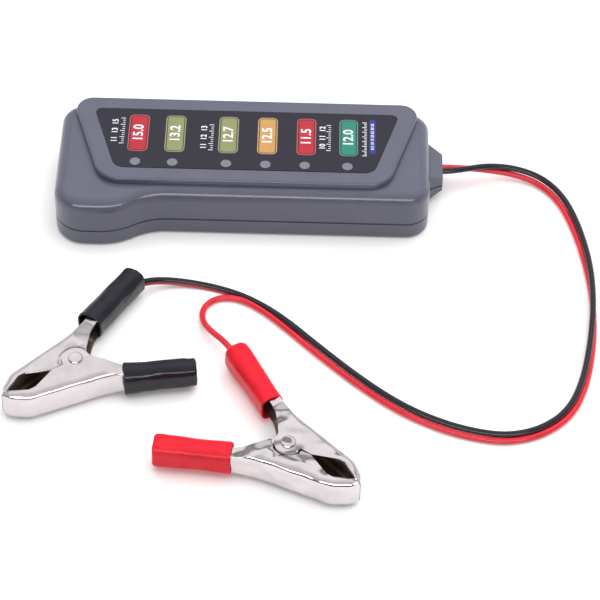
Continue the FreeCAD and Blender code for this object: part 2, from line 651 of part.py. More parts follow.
def make_circuit_board():
    body = new_body("circuit_board_body")
    plan = new_sketch(body, "board_plan", "XY_Plane", s.board_lift)
    add_rectangle(plan, board_left, board_back_line - s.board_depth,
                  board_left + s.board_length, board_back_line)
    for x in led_places:
        for side in (-1, 1):
            add_circle(plan, x + s.leg_spacing / 2 * side, led_line, s.leg_radius + s.led_clearance)
    add_feature(body, "Pad", "board", plan, s.board_thickness)
    return finish(body, "circuit_board")


def make_lamps():
    """Six lamps in the panel, and their legs down through the board."""
    flange_base = panel_ceiling - s.led_clearance - s.led_flange_height
    flange_top = flange_base + s.led_flange_height
    lens_top = label_top + s.led_proud
    profile = ((NOUGHT, flange_base), (s.led_flange, flange_base), (s.led_flange, flange_top),
               (s.led_radius, flange_top), (s.led_radius, lens_top, s.led_round), (NOUGHT, lens_top))
    legs = []
    leg_foot = s.board_lift - s.leg_below_board
    for number, x in enumerate(led_places, start=1):
        lamp = turned_piece(f"lamp_{number}_body", profile)
        place(lamp, x, led_line, 0)
        finish(lamp, f"led_{number}")
        for side in (-1, 1):
            legs.append(new_cylinder(f"leg_{number}", s.leg_radius, flange_base - leg_foot,
                                     x + s.leg_spacing / 2 * side, led_line, leg_foot))
    finish(group("leg_group", legs), "led_legs")


def make_board_parts():
    """Chip, resistors, capacitor and diode on top of the board."""
    row = board_back_line - s.parts_row
    chip_left = s.board_middle + s.chip_x - s.chip_length / 2
    chip_low = row - s.chip_depth / 2
    chip = new_box("chip_block", s.chip_length, s.chip_depth, s.chip_height,
                   chip_left, chip_low, board_top + s.chip_stand)
    leg_count = int(s.chip_legs.value)
    legs = []
    for index in range(leg_count):
        x = s.board_middle + s.chip_x + s.chip_pitch * (index - (leg_count - 1) / 2) - s.chip_leg_width / 2
        legs.append(new_box("chip_leg", s.chip_leg_width, s.chip_depth + s.chip_leg_length * 2,
                            s.chip_leg_height, x, chip_low - s.chip_leg_length, board_top))
    fused = doc.addObject("Part::MultiFuse", "chip_whole")
    fused.Shapes = [chip] + legs
    finish(fused, "control_chip")
    resistors = []
    for x in led_places:
        resistors.append(new_box("resistor", s.resistor_width, s.resistor_length, s.resistor_height,
                                 x - s.resistor_width / 2, led_line + s.resistor_behind, board_top))
    finish(group("resistor_group", resistors), "resistors")
    can = turned_piece("capacitor_body", ((NOUGHT, NOUGHT), (s.capacitor_radius, NOUGHT),
                                          (s.capacitor_radius, s.capacitor_height, s.capacitor_round),
                                          (NOUGHT, s.capacitor_height)))
    place(can, s.board_middle + s.capacitor_x, row, board_top)
    finish(can, "smoothing_capacitor")
    diode = new_cylinder("diode_body", s.diode_radius, s.diode_length,
                         s.board_middle + s.diode_x, row, board_top + s.diode_radius)
    diode.Placement.Rotation = Rotation(Vector(0, 1, 0), 90)
    finish(diode, "polarity_diode")


def make_cable_tie():
    """Band around both leads behind the gland, with its square head on top."""
    body = new_body("cable_tie_body")
    start = right_end - s.wall - s.lip_thickness - s.tie_width
    plan = new_sketch(body, "tie_section", "YZ_Plane", start)
    inner_x = (s.lead_spacing + s.lead_diameter) / 2 + s.tie_gap
    inner_y = lead_radius + s.tie_gap
    for grow, corner in ((s.tie_band, inner_y), (NOUGHT, inner_y - s.tie_gap)):
        add_outline(plan, ((lead_middle - inner_x - grow, s.lead_lift - inner_y - grow, corner),
                           (lead_middle + inner_x + grow, s.lead_lift - inner_y - grow, corner),
                           (lead_middle + inner_x + grow, s.lead_lift + inner_y + grow, corner),
                           (lead_middle - inner_x - grow, s.lead_lift + inner_y + grow, corner)))
    add_feature(body, "Pad", "tie_band", plan, s.tie_width)
    head_plan = new_sketch(body, "tie_head_section", "YZ_Plane", start)
    head_low = s.lead_lift + inner_y + s.tie_band / 2
    add_rectangle(head_plan, lead_middle - s.tie_head / 2, head_low,
                  lead_middle + s.tie_head / 2, head_low + s.tie_head)
    add_feature(body, "Pad", "tie_head", head_plan, s.tie_width)
    return finish(body, "cable_tie")


def make_screws():
    """Four pan-head screws from below, each with a cross recess."""
    head_low = s.screw_sink - s.screw_head_height
    tip = s.screw_sink + s.screw_length
    profile = ((NOUGHT, head_low), (s.screw_head, head_low, s.screw_head_round), (s.screw_head, s.screw_sink),
               (s.screw_shank, s.screw_sink), (s.screw_shank, tip - s.screw_shank), (NOUGHT, tip))
    arm = s.cross_length / 2
    half = s.cross_width / 2
    cross = ((arm, -half), (arm, half), (half, half), (half, arm), (-half, arm), (-half, half),
             (-arm, half), (-arm, -half), (-half, -half), (-half, -arm), (half, -arm), (half, -half))
    screws = []
    for number, (x, y) in enumerate(screw_places, start=1):
        screw = turned_piece(f"screw_{number}", profile)
        plan = new_sketch(screw, "cross_plan", "XY_Plane", head_low)
        add_outline(plan, cross)
        add_feature(screw, "Pocket", "cross", plan, s.cross_depth, reverse=True)
        place(screw, x, y, 0)
        screws.append(screw)
    finish(group("screw_group", screws), "housing_screws")


# Clip frame: rivet along Z at the origin, X towards the tips, wire jaw on the +Y side
clip_half = s.clip_width / 2
half_gap = s.clip_gap / 2
handle_run = (-cosine(s.handle_angle), sine(s.handle_angle))
handle_out = (sine(s.handle_angle), cosine(s.handle_angle))
flare_slope = tangent(s.flare)


def along_handle(distance, offset):
    """Point at a distance from the rivet along the handle, at an offset from the line through the rivet."""
    x = handle_run[0] * distance + handle_out[0] * offset
    y = handle_run[1] * distance + handle_out[1] * offset
    return x, y


def shoulder(inset):
    """Corner between the flared jaw edge and the tang's outer edge, both drawn in by inset."""
    offset = s.handle_offset + s.tang_out - inset
    edge_drop = inset / cosine(s.flare)
    rise = s.cheek_y + flare_slope * (s.cheek_x - handle_out[0] * offset) - edge_drop - handle_out[1] * offset
    distance = rise / (handle_run[1] + flare_slope * handle_run[0])
    return along_handle(distance, offset)


def jaw_plan():
    """Plan outline of one jaw's side plates."""
    tang_outer = along_handle(s.tang_end, s.handle_offset + s.tang_out)
    tang_inner = along_handle(s.tang_end, s.handle_offset - s.tang_in)
    throat = along_handle(s.throat, s.handle_offset - s.tang_in)
    bend = shoulder(NOUGHT)
    ear = s.ear_radius
    ear_corner = ear - s.rivet_fit
    return (
        (s.tip_reach, half_gap),
        (s.tip_reach - s.nose_set_back, s.nose_half, s.nose_round),
        (s.cheek_x, s.cheek_y, s.cheek_round),
        (bend[0], bend[1], s.tang_bend),
        tang_outer,
        tang_inner,
        (throat[0], throat[1], s.throat_round),
        (-s.notch_x, s.notch_y, s.notch_round),
        (-ear, -ear, ear_corner),
        (ear, -ear, ear_corner),
        (ear, half_gap),
        (s.mouth_rear, half_gap),
        (s.mouth_peak_rear, s.mouth_half, s.mouth_round),
        (s.mouth_peak_front, s.mouth_half, s.mouth_round),
        (s.tip_reach - s.nose_length, half_gap),
    )


def hollow_plan():
    """Plan outline of the space inside one jaw, open on its inner side and at the tang's end."""
    sheet_edge = s.sheet_metal
    tang_outer = along_handle(s.tang_end * CUT_PAST, s.handle_offset + s.tang_out - sheet_edge)
    tang_inner = along_handle(s.tang_end * CUT_PAST, -s.handle_offset)
    bend = shoulder(sheet_edge)
    below = -s.ear_radius * CUT_PAST
    nose_x = s.tip_reach - sheet_edge
    return (
        (nose_x, below),
        (nose_x - s.nose_set_back, s.nose_half - sheet_edge / 2, s.nose_round - sheet_edge),
        (s.cheek_x, s.cheek_y - sheet_edge, s.cheek_round - sheet_edge),
        (bend[0], bend[1], s.tang_bend + sheet_edge),
        tang_outer,
        tang_inner,
        (along_handle(s.throat, s.handle_offset)[0], below),
    )


def outer_bend(edge):
    """Whether an edge of a jaw's block is a bend between a side plate and the band around its outside."""
    box = edge.BoundBox
    flat = box.ZLength < LEVEL_TOLERANCE
    middle = edge.valueAt((edge.FirstParameter + edge.LastParameter) / 2)
    reach = middle.x * handle_run[0].value + middle.y * handle_run[1].value
    offset = middle.x * handle_out[0].value + middle.y * handle_out[1].value
    along_band = offset > s.handle_offset.value and reach < s.tang_end.value - LEVEL_TOLERANCE
    return flat and middle.y > s.mouth_half.value and along_band


def narrowed_block(name, plan, half_width, tang_half, bend_round):
    """Block on a plan outline whose width draws in from half_width at the jaw to tang_half at the tang."""
    body = new_body(name)
    plan_sketch = new_sketch(body, name + "_plan")
    add_outline(plan_sketch, plan)
    block = add_feature(body, "Pad", name + "_block", plan_sketch, half_width * 2, symmetric=True)
    round_edges(body, name + "_bend", block, outer_bend, bend_round)
    side_sketch = new_sketch(body, name + "_taper", "XZ_Plane")
    side_sketch.AttachmentOffset = Placement(Vector(), Rotation(Vector(0, -1, 0), s.handle_angle.value))
    side_sketch.setExpression("AttachmentOffset.Rotation.Angle", s.handle_angle.formula)
    far = -s.tang_end * CUT_PAST
    high = clip_half * CUT_PAST
    for sign in (1, -1):
        add_outline(side_sketch, ((-s.taper_start, half_width * sign), (-s.taper_end, tang_half * sign),
                                  (far, tang_half * sign), (far, high * sign), (-s.taper_start, high * sign)))
    add_feature(body, "Pocket", name + "_narrow", side_sketch, s.tang_end * CUT_PAST, symmetric=True)
    return body


def step_in(body, name, radius, inner_half, outer_half):
    """Ring-shaped cut around the rivet on both side faces, from inner_half out to outer_half."""
    sketch = new_sketch(body, name + "_section", "XZ_Plane")
    for sign in (1, -1):
        add_outline(sketch, ((NOUGHT, inner_half * sign), (radius, inner_half * sign),
                             (radius, outer_half * sign), (NOUGHT, outer_half * sign)))
    turn_feature(body, "Groove", name, sketch)


def bore_rivet_hole(body, name, radius):
    plan = new_sketch(body, name + "_plan")
    add_circle(plan, NOUGHT, NOUGHT, radius)
    add_feature(body, "Pocket", name, plan, s.clip_width * CUT_PAST, symmetric=True)


def make_jaw(name, stepped):
    """Pressed jaw of bent sheet. A stepped jaw's ears are drawn in, to run inside the other jaw's ears."""
    outer = narrowed_block(name + "_outer", jaw_plan(), clip_half, s.tang_half, s.bend_round)
    inner = narrowed_block(name + "_inner", hollow_plan(), clip_half - s.sheet_metal,
                           s.tang_half - s.sheet_metal, s.bend_round - s.sheet_metal)
    hole = s.rivet_radius + s.rivet_fit
    if stepped:
        ring = s.ear_radius + s.ear_room
        face = clip_half - s.sheet_metal - s.clip_gap
        step_in(outer, name + "_step", ring, face, clip_half * CUT_PAST)
        step_in(inner, name + "_inner_step", ring + s.sheet_metal, face - s.sheet_metal, clip_half * CUT_PAST)
    bore_rivet_hole(outer, name + "_rivet_hole", hole)
    return boolean("Cut", name, outer, inner)


def make_rivet(name):
    top = clip_half
    peak = clip_half + s.rivet_head_height
    profile = ((NOUGHT, -peak), (s.rivet_head, -peak, s.rivet_round), (s.rivet_head, -top),
               (s.rivet_radius, -top), (s.rivet_radius, top),
               (s.rivet_head, top), (s.rivet_head, peak, s.rivet_round), (NOUGHT, peak))
    return turned_piece(name, profile)


def sleeve_section(inset):
    half_width = s.sleeve_width / 2 - inset
    half_height = s.sleeve_height / 2 - inset
    corner = s.sleeve_corner - inset
    return ((-half_width, -half_height, corner), (half_width, -half_height, corner),
            (half_width, half_height, corner), (-half_width, half_height, corner))


def make_sleeve(name, length, open_end=False, lead_hole=False):
    """Soft oval sleeve along Z, open at its foot. Its far end is open, closed, or closed around a lead."""
    body = new_body(name)
    section = new_sketch(body, name + "_section")
    add_outline(section, sleeve_section(NOUGHT))
    block = add_feature(body, "Pad", name + "_block", section, length)
    depth = length
    if not open_end:
        level = length.value
        round_edges(body, name + "_end_round", block,
                    lambda edge: abs(edge.BoundBox.ZMin - level) < LEVEL_TOLERANCE, s.sleeve_round)
        depth = length - s.sleeve_end
    bore = new_sketch(body, name + "_bore_section")
    add_outline(bore, sleeve_section(s.sleeve_wall))
    add_feature(body, "Pocket", name + "_bore", bore, depth, reverse=True)
    if lead_hole:
        hole = new_sketch(body, name + "_lead_hole_plan")
        add_circle(hole, NOUGHT, NOUGHT, lead_radius + s.lead_hole_room)
        add_feature(body, "Pocket", name + "_lead_hole", hole, length, reverse=True)
    return body


def make_crimp(name):
    inner = lead_radius + s.crimp_fit
    outer = inner + s.crimp_wall
    return turned_piece(name, ((inner, NOUGHT), (outer, NOUGHT),
                               (outer, s.crimp_length), (inner, s.crimp_length)))


# Tubes along hand-chosen routes and along the spring's coil
def arc_through(start, end, crossing):
    """Arc from start to end whose end tangents cross at the point given."""
    middle = (start + end) * 0.5
    half_chord = start.distanceToPoint(end) / 2
    rise = crossing.distanceToPoint(middle)
    sagitta = half_chord * math.tan(math.atan2(rise, half_chord) / 2)
    peak = middle + (crossing - middle).normalize() * sagitta
    return Part.Arc(start, peak, end)


def route_wire(points):
    """Wire of straight runs and tangent arcs, each arc as large as its two runs allow, and the radii."""
    edges = []
    radii = []
    last = points[0]
    for before, corner, after in zip(points, points[1:], points[2:]):
        arriving = (corner - before).normalize()
        leaving = (after - corner).normalize()
        reach = ARC_SHARE * min(before.distanceToPoint(corner), corner.distanceToPoint(after))
        start = corner - arriving * reach
        end = corner + leaving * reach
        radii.append(reach / math.tan(arriving.getAngle(leaving) / 2))
        edges.append(Part.LineSegment(last, start).toShape())
        edges.append(arc_through(start, end, corner).toShape())
        last = end
    edges.append(Part.LineSegment(last, points[-1]).toShape())
    return Part.Wire(edges), radii


def tube(wire, start, direction, radius):
    """Round tube along a smooth wire."""
    section = Part.Wire([Part.Circle(start, direction, radius).toShape()])
    return wire.makePipeShell([section], True, False)


def make_lead(name, points):
    wire, radii = route_wire(points)
    radius = lead_radius.value
    shape = tube(wire, points[0], points[1] - points[0], radius)
    expected = math.pi * radius ** 2 * wire.Length
    print(name, "length", round(wire.Length, 1), "volume ratio", round(shape.Volume / expected, 4))
    print(name, "bend radii", [round(value, 1) for value in radii])
    feature = doc.addObject("Part::Feature", name)
    feature.Shape = shape
    return finish(feature, name)


def coil_point(angle, height_per_turn):
    radius = s.spring_radius.value
    return Vector(radius * math.cos(angle), radius * math.sin(angle), angle / (2 * math.pi) * height_per_turn)


def coil_direction(angle, height_per_turn):
    radius = s.spring_radius.value
    slope = height_per_turn / (2 * math.pi)
    return Vector(radius * math.sin(angle), -radius * math.cos(angle), -slope).normalize()


def biarc(start, start_direction, end, end_direction):
    """Two arcs from start to end with the given directions at their ends, in space."""
    span = end - start
    both = start_direction + end_direction
    bend = 2 * (1 - start_direction.dot(end_direction))
    along = span.dot(both)
    reach = (-along + math.sqrt(along ** 2 + bend * span.dot(span))) / bend
    meet = (start + end + (start_direction - end_direction) * reach) * 0.5
    return (arc_through(start, meet, start + start_direction * reach),
            arc_through(meet, end, end - end_direction * reach))


def least_gap(points, wire_diameter):
    """Least distance between stretches of the coil that lie more than half a turn apart along it."""
    skip = math.pi * s.spring_radius.value
    best = None
    for index, point in enumerate(points):
        for other in points[index + 1:]:
            if other[1] - point[1] > skip:
                distance = point[0].distanceToPoint(other[0])
                best = distance if best is None else min(best, distance)
    return best - wire_diameter


def make_spring(name):
    """Torsion spring: a coil around the rivet, with one straight arm inside each handle."""
    pitch = s.spring_pitch.value
    arm = s.spring_arm.value
    end_angle = math.radians(90 - s.spring_arm_angle.value)
    turn = end_angle * 2 + s.spring_turns.value * 2 * math.pi
    count = math.ceil(turn / (math.pi / 2))
    lift = turn / (2 * math.pi) * pitch / 2 - coil_point(end_angle, pitch).z
    angles = [end_angle - turn * index / count for index in range(count + 1)]
    places = [coil_point(angle, pitch) + Vector(0, 0, lift) for angle in angles]
    directions = [coil_direction(angle, pitch) for angle in angles]
    first = places[0] - directions[0] * arm
    last = places[-1] + directions[-1] * arm
    edges = [Part.LineSegment(first, places[0]).toShape()]
    for index in range(count):
        for arc in biarc(places[index], directions[index], places[index + 1], directions[index + 1]):
            edges.append(arc.toShape())
    edges.append(Part.LineSegment(places[-1], last).toShape())
    wire = Part.Wire(edges)
    radius = s.spring_wire.value / 2
    shape = tube(wire, first, directions[0], radius)
    samples = []
    travelled = 0.0
    for edge in edges:
        for point in edge.discretize(EDGE_SAMPLES)[:-1]:
            if samples:
                travelled += point.distanceToPoint(samples[-1][0])
            samples.append((point, travelled))
    print(name, "least gap", round(least_gap(samples, 2 * radius), 2),
          "volume ratio", round(shape.Volume / (math.pi * radius ** 2 * wire.Length), 4))
    feature = doc.addObject("Part::Feature", name)
    feature.Shape = shape
    return feature


def clip_placement(x, y, turn, flipped):
    """Place of a clip that lies on its rivet head, turned over where it is flipped."""
    turned = Rotation(UP, turn.value)
    if flipped:
        turned = turned.multiply(Rotation(Vector(1, 0, 0), 180))
    height = clip_half + s.rivet_head_height
    return Placement(Vector(x.value, y.value, height.value), turned)


def handle_placement(distance, side):
    """Place on a handle's axis, Z along it and X outwards: side is 1 for the wire jaw and -1 for the grip."""
    x, y = along_handle(distance, s.handle_offset)
    along = Vector(handle_run[0].value, handle_run[1].value * side, 0)
    outwards = Vector(handle_out[0].value, handle_out[1].value * side, 0)
    turned = Rotation(outwards, along.cross(outwards), along, "ZXY")
    return Placement(Vector(x.value, y.value * side, 0), turned)


def make_clip(colour, x, y, turn, flipped, wire_sleeve_start, grip_sleeve_start, lead_entry):
    """One battery clip, and the points where its lead runs into the wire sleeve."""
    whole = clip_placement(x, y, turn, flipped)
    over = Placement(Vector(), Rotation(Vector(1, 0, 0), 180))
    wire_jaw = make_jaw(f"{colour}_wire_jaw_cut", flipped)
    wire_jaw.Placement = whole
    finish(wire_jaw, f"{colour}_wire_jaw")
    grip_jaw = make_jaw(f"{colour}_grip_jaw_cut", not flipped)
    grip_jaw.Placement = whole.multiply(over)
    finish(grip_jaw, f"{colour}_grip_jaw")
    rivet = make_rivet(f"{colour}_rivet_body")
    rivet.Placement = whole
    finish(rivet, f"{colour}_clip_rivet")
    spring = make_spring(f"{colour}_spring_coil")
    spring.Placement = whole
    finish(spring, f"{colour}_clip_spring")
    wire_sleeve = make_sleeve(f"{colour}_wire_sleeve_body", s.wire_sleeve_length,
                              open_end=flipped, lead_hole=not flipped)
    wire_sleeve.Placement = whole.multiply(handle_placement(wire_sleeve_start, 1))
    finish(wire_sleeve, f"{colour}_wire_sleeve")
    grip_sleeve = make_sleeve(f"{colour}_grip_sleeve_body", s.grip_sleeve_length)
    grip_sleeve.Placement = whole.multiply(handle_placement(grip_sleeve_start, -1))
    finish(grip_sleeve, f"{colour}_grip_sleeve")
    crimp = make_crimp(f"{colour}_crimp_body")
    crimp.Placement = whole.multiply(handle_placement(s.crimp_start, 1))
    finish(crimp, f"{colour}_wire_crimp")
    ends = []
    for distance in (lead_entry, s.crimp_start):
        ends.append(whole.multiply(handle_placement(distance, 1)).Base)
    return ends


make_upper_housing()
make_lower_housing()
make_face_label()
make_circuit_board()
make_lamps()
make_board_parts()
make_cable_tie()
make_screws()
black_ends = make_clip("black", s.black_clip_x, s.black_clip_y, s.black_clip_turn, True,
                       s.black_wire_sleeve_start, s.black_grip_sleeve_start, s.black_lead_entry)
red_ends = make_clip("red", s.red_clip_x, s.red_clip_y, s.red_clip_turn, False,
                     s.red_wire_sleeve_start, s.red_grip_sleeve_start, s.red_lead_entry)
make_lead("black_lead", [Vector(*point) for point in BLACK_ROUTE] + black_ends)
make_lead("red_lead", [Vector(*point) for point in RED_ROUTE] + red_ends)
doc.recompute()

# Check of every object and sub-part before anything is written
for item in doc.Objects:
    if "Invalid" in item.State or "Error" in item.State:
        raise RuntimeError(f"{item.Label} failed: {item.State}")
for node in nodes:
    if node.Shape.isNull() or not node.Shape.isValid():
        raise RuntimeError(f"{node.Label} has no valid shape")

os.makedirs("parts", exist_ok=True)
for node in nodes:
    node.Shape.exportStep(f"parts/{node.Label}.step")
print(len(nodes), "sub-parts written")
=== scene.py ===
"""Looks of the battery tester: its finishes, print, leads, sleeves and stage, around the packed frame."""
import json
import math

import bmesh
import bpy
from mathutils import Matrix, Vector


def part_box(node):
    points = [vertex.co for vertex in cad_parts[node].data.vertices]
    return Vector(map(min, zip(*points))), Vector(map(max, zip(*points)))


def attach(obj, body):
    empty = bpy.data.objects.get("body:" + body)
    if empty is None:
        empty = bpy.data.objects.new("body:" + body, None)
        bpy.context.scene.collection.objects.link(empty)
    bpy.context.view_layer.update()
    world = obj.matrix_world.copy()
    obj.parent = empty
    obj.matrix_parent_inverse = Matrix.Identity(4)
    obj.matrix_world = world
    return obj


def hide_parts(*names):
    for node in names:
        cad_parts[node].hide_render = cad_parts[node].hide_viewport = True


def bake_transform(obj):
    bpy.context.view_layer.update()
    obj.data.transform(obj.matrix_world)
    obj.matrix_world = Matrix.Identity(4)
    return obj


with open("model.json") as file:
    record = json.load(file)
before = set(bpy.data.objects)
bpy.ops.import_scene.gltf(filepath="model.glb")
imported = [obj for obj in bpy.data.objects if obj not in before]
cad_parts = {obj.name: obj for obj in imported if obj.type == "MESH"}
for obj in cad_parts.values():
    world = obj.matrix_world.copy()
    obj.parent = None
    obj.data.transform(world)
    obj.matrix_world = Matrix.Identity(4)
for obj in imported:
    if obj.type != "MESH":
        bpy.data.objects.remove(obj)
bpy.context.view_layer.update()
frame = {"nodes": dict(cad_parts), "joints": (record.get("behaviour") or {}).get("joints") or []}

bl_info = {
    "name": "Battery Tester",
    "version": (1, 0, 0),
    "blender": (4, 5, 0),
    "location": "View3D > Sidebar > Tester",
    "description": "Dresses the packed battery tester with its finishes, print, leads and sleeves",
    "category": "Object",
}

MM = 0.001
TOLERANCE = 1e-6
COLOURS = ("black", "red")

# Lead routes, from under the board to the clips, in millimetres
BLACK_ROUTE = (
    (40.0, 6.48, 9.3), (51.0, 6.48, 7.6), (64.6, 6.48, 7.6), (71.4, 8.6, 7.0), (79.0, 11.6, 6.0),
    (88.6, 12.6, 4.2), (97.6, 9.6, 2.8), (104.2, 1.2, 2.4), (108.4, -12.5, 2.5), (111.0, -30.0, 2.8),
    (110.9, -47.4, 3.05), (108.9, -64.0, 3.0), (105.4, -80.6, 2.6), (100.2, -92.4, 2.4), (91.6, -99.8, 2.4),
    (81.6, -102.8, 2.4), (71.6, -101.6, 2.4), (60.6, -98.0, 2.4), (48.6, -91.4, 2.4), (36.4, -81.3, 2.4),
    (23.8, -68.9, 2.4), (11.6, -56.0, 2.2), (1.2, -47.6, 1.4), (-8.6, -43.2, 1.1), (-17.6, -41.4, 1.4),
    (-25.0, -41.6, 2.6), (-31.0, -43.6, 4.4), (-37.5, -48.0, 6.0), (-44.1, -60.4, 6.0),
)
RED_ROUTE = (
    (40.0, 8.53, 9.3), (51.0, 8.53, 7.6), (64.6, 8.53, 7.6), (71.6, 10.3, 5.8), (79.0, 11.6, 3.9),
    (88.0, 11.5, 2.4), (96.3, 8.5, 1.4), (102.7, 0.5, 1.1), (107.0, -12.9, 1.1), (110.0, -30.1, 1.1),
    (111.1, -47.5, 1.1), (110.0, -64.3, 1.1), (106.7, -81.2, 1.1), (101.4, -93.4, 1.1), (92.2, -101.2, 1.1),
    (81.6, -104.3, 1.1), (71.2, -103.1, 1.1), (60.0, -99.4, 1.1), (47.7, -92.7, 1.1), (35.4, -82.5, 1.1),
    (22.7, -70.1, 1.1), (10.8, -57.4, 1.1), (3.2, -50.6, 1.1), (-3.4, -47.2, 1.1), (-9.6, -47.6, 1.1),
    (-13.4, -51.6, 1.1), (-13.8, -57.2, 1.7), (-11.6, -63.0, 3.4), (-3.5, -73.0, 6.0), (7.1, -91.7, 6.0),
)
ROUTES = {"black": BLACK_ROUTE, "red": RED_ROUTE}
ROUTE_STEPS = 10
LEAD_STEPS = 6
CLIP_PIECES = ("wire_jaw_sheet", "grip_jaw_sheet", "clip_rivet", "clip_spring_wire", "wire_crimp",
               "wire_sleeve_vinyl", "grip_sleeve_vinyl")

# Torn web: its side of the black lead, shift by diameters, painted shade of its red, and reach in millimetres
WEB_SIDE = (0.0, -0.73, -0.68)
WEB_SHIFT = 0.4
WEB_PAINTED_SHADE = 0.7
WEB_STEPS = 3
WEB_START_X = 9.0
WEB_END_X = -35.5
WEB_FRONT_Y = -40.0

# Turns of the clips about their rivets, in degrees
CLIP_TURNS = {"black": 215.0, "red": 326.6}

# Sleeves: reach, rounds and crease size, and sections as share, width, height and shift outwards
SLEEVE_PLANS = (
    {"colour": "black", "jaw": "wire", "foot": 17.2, "far": 41.7, "corner": 3.7, "end_round": 0.0,
     "crease": 2.6,
     "sections": ((0.0, 8.6, 10.4, 1.4), (0.07, 8.2, 10.1, 1.3), (0.5, 8.0, 9.7, 0.7), (0.93, 7.9, 9.3, 0.0),
                  (1.0, 8.1, 9.4, -0.1))},
    {"colour": "black", "jaw": "grip", "foot": 14.3, "far": 36.7, "corner": 3.3, "end_round": 0.7,
     "crease": 2.9,
     "sections": ((0.0, 8.1, 10.2, 0.5), (0.08, 7.9, 10.0, 0.45), (0.3, 7.2, 9.5, 0.3), (0.6, 7.4, 9.3, 0.1),
                  (0.84, 7.4, 9.0, 0.0), (0.9, 7.0, 8.7, 0.0), (1.0, 7.1, 8.7, -0.1))},
    {"colour": "red", "jaw": "wire", "foot": 18.0, "far": 43.7, "corner": 3.2, "end_round": 1.9,
     "crease": 3.1,
     "sections": ((0.0, 7.5, 9.4, -0.5), (0.08, 7.3, 9.1, -0.5), (0.5, 7.6, 9.2, -0.3),
                  (0.85, 8.2, 9.6, -0.3), (1.0, 7.9, 9.2, -0.2))},
    {"colour": "red", "jaw": "grip", "foot": 16.3, "far": 40.0, "corner": 3.0, "end_round": 0.8,
     "crease": 3.4,
     "sections": ((0.0, 7.9, 9.6, -0.7), (0.08, 7.8, 9.4, -0.7), (0.35, 7.6, 9.1, -0.6),
                  (0.75, 7.9, 9.5, -0.5), (0.93, 8.1, 9.7, -0.4), (1.0, 7.9, 9.6, -0.4))},
)

# Steps of a sleeve's rounds, cuts along it, and the share of its length past which its end begins
SLEEVE_CORNER_STEPS = 8
SLEEVE_END_STEPS = 4
SLEEVE_CUTS = 27
SLEEVE_END = 0.99
LEVEL_DIGITS = 7

# Lamp windows: part sunk, round and dip by their height, and rim by their radius
WINDOW_STEPS = 48
WINDOW_SUNK = 0.25
WINDOW_ROUND = 0.4
WINDOW_DIP = 0.25
WINDOW_RIM = 0.12

# Patches, from the lamp furthest from the gland: ink, width and number
PATCHES = (("red", 6.6, "15.0"), ("olive", 6.6, "13.2"), ("olive", 6.5, "12.7"),
           ("amber", 6.5, "12.5"), ("red", 6.3, "11.5"), ("green", 6.1, "12.0"))
PATCH_SHIFT = 0.35
PATCH_CORNER_SHARE = 0.3
PATCH_CORNER_STEPS = 6
EDGE_SHARE = 0.7
EDGE_WHITE = 0.1
LINE_SHARE = 0.3
GLYPH_SHARE = 0.25
GLYPH_STEPS = 6

# Scales: place of the ticks along X, numbers and their distance from the ticks, and the middle along Y
SCALES = ((-41.9, "11  13  15", 3.2, 8.0), (-12.6, "11  12  13", 3.1, 5.8), (26.0, "10  11  12", 2.7, 6.9))
SCALE_HALF = 6.0
SCALE_TICKS = 13
END_SCALE = {"x": 37.8, "low": -1.2, "high": 14.6, "ticks": 22}
BLUE_STRIP = {"x": 39.7, "y": 8.0, "width": 2.0, "length": 16.2, "words": "0 5 10 15 20 25 30 35",
              "words_share": 0.7}

# Ticks of the scales in millimetres, and how often one is long
TICK_LONG = 1.5
TICK_SHORT = 0.8
TICK_WIDTH = 0.28
TICK_THICKNESS = 0.03
TICK_BEVEL = 0.01
LONG_EVERY = 3

# Lights: name, place, width, height, power, and whether they light matt colour and show in gloss
LIGHTS = (("key_light", (0.2, 0.05, 0.95), 1.2, 1.2, 9.2, True, False),
          ("strip_light", (-0.05, -0.86, 0.53), 1.5, 0.15, 7.6, False, True))

# Brightness of the surround by height: a white sweep behind, and a dark room with a soft light in front
BACK_SKY = ((0.0, 0.85), (0.46, 0.95), (0.53, 0.3), (0.6, 0.3), (0.66, 1.25), (0.82, 1.25), (1.0, 0.85))
FRONT_SKY = ((0.0, 0.1), (0.3, 0.15), (0.5, 0.45), (0.66, 0.6), (0.85, 0.7), (1.0, 0.85))
SKY_TURN = 0.3
AIM = (0.01, -0.05, 0.0)
FLOOR_SIZE = 8.0
NEAR_CLIP = 0.01

# Nickel of the two clips: gloss and height of its waves, in millimetres
NICKEL = {"black": ((0.2, 0.26), 0.5), "red": ((0.08, 0.16), 1.8)}

# Painted shade inside the jaws: half its height and where the noses begin in millimetres, and least slope
# inwards
INSIDE_HALF = 4.6
NOSE_START = 14.0
INWARDS = 0.2

# Gloss and strength of reflection of the vinyl sleeves, and of the leads
SLEEVE_GLOSS = {"black": ((0.16, 0.26), 0.3), "red": ((0.3, 0.38), 0.26)}
LEAD_GLOSS = ((0.16, 0.26), 0.5)

# Painted shadow along the parting line of the housings: height and half its width in millimetres, and share
# of the colour kept
SEAM_SHADOW_LEVEL = 6.55
SEAM_SHADOW_HALF = 0.36
SEAM_SHADOW_SHARE = 0.3

# Part of a noise that finishes use, and size of the uneven gloss by that of the clouds
NOISE_LOW = 0.3
NOISE_HIGH = 0.7
GLOSS_CLOUD = 0.6


def linear(red, green, blue):
    """Scene-linear colour of an sRGB colour given from 0 to 255."""
    shares = (red / 255, green / 255, blue / 255)
    return tuple(v / 12.92 if v <= 0.04045 else ((v + 0.055) / 1.055) ** 2.4 for v in shares)


def colour_setting(name, description, default):
    return bpy.props.FloatVectorProperty(name=name, description=description, subtype="COLOR",
                                         size=3, min=0.0, max=1.0, default=default)


def length_setting(name, description, default):
    return bpy.props.FloatProperty(name=name, description=description, unit="LENGTH",
                                   min=0.0, default=default, precision=5)


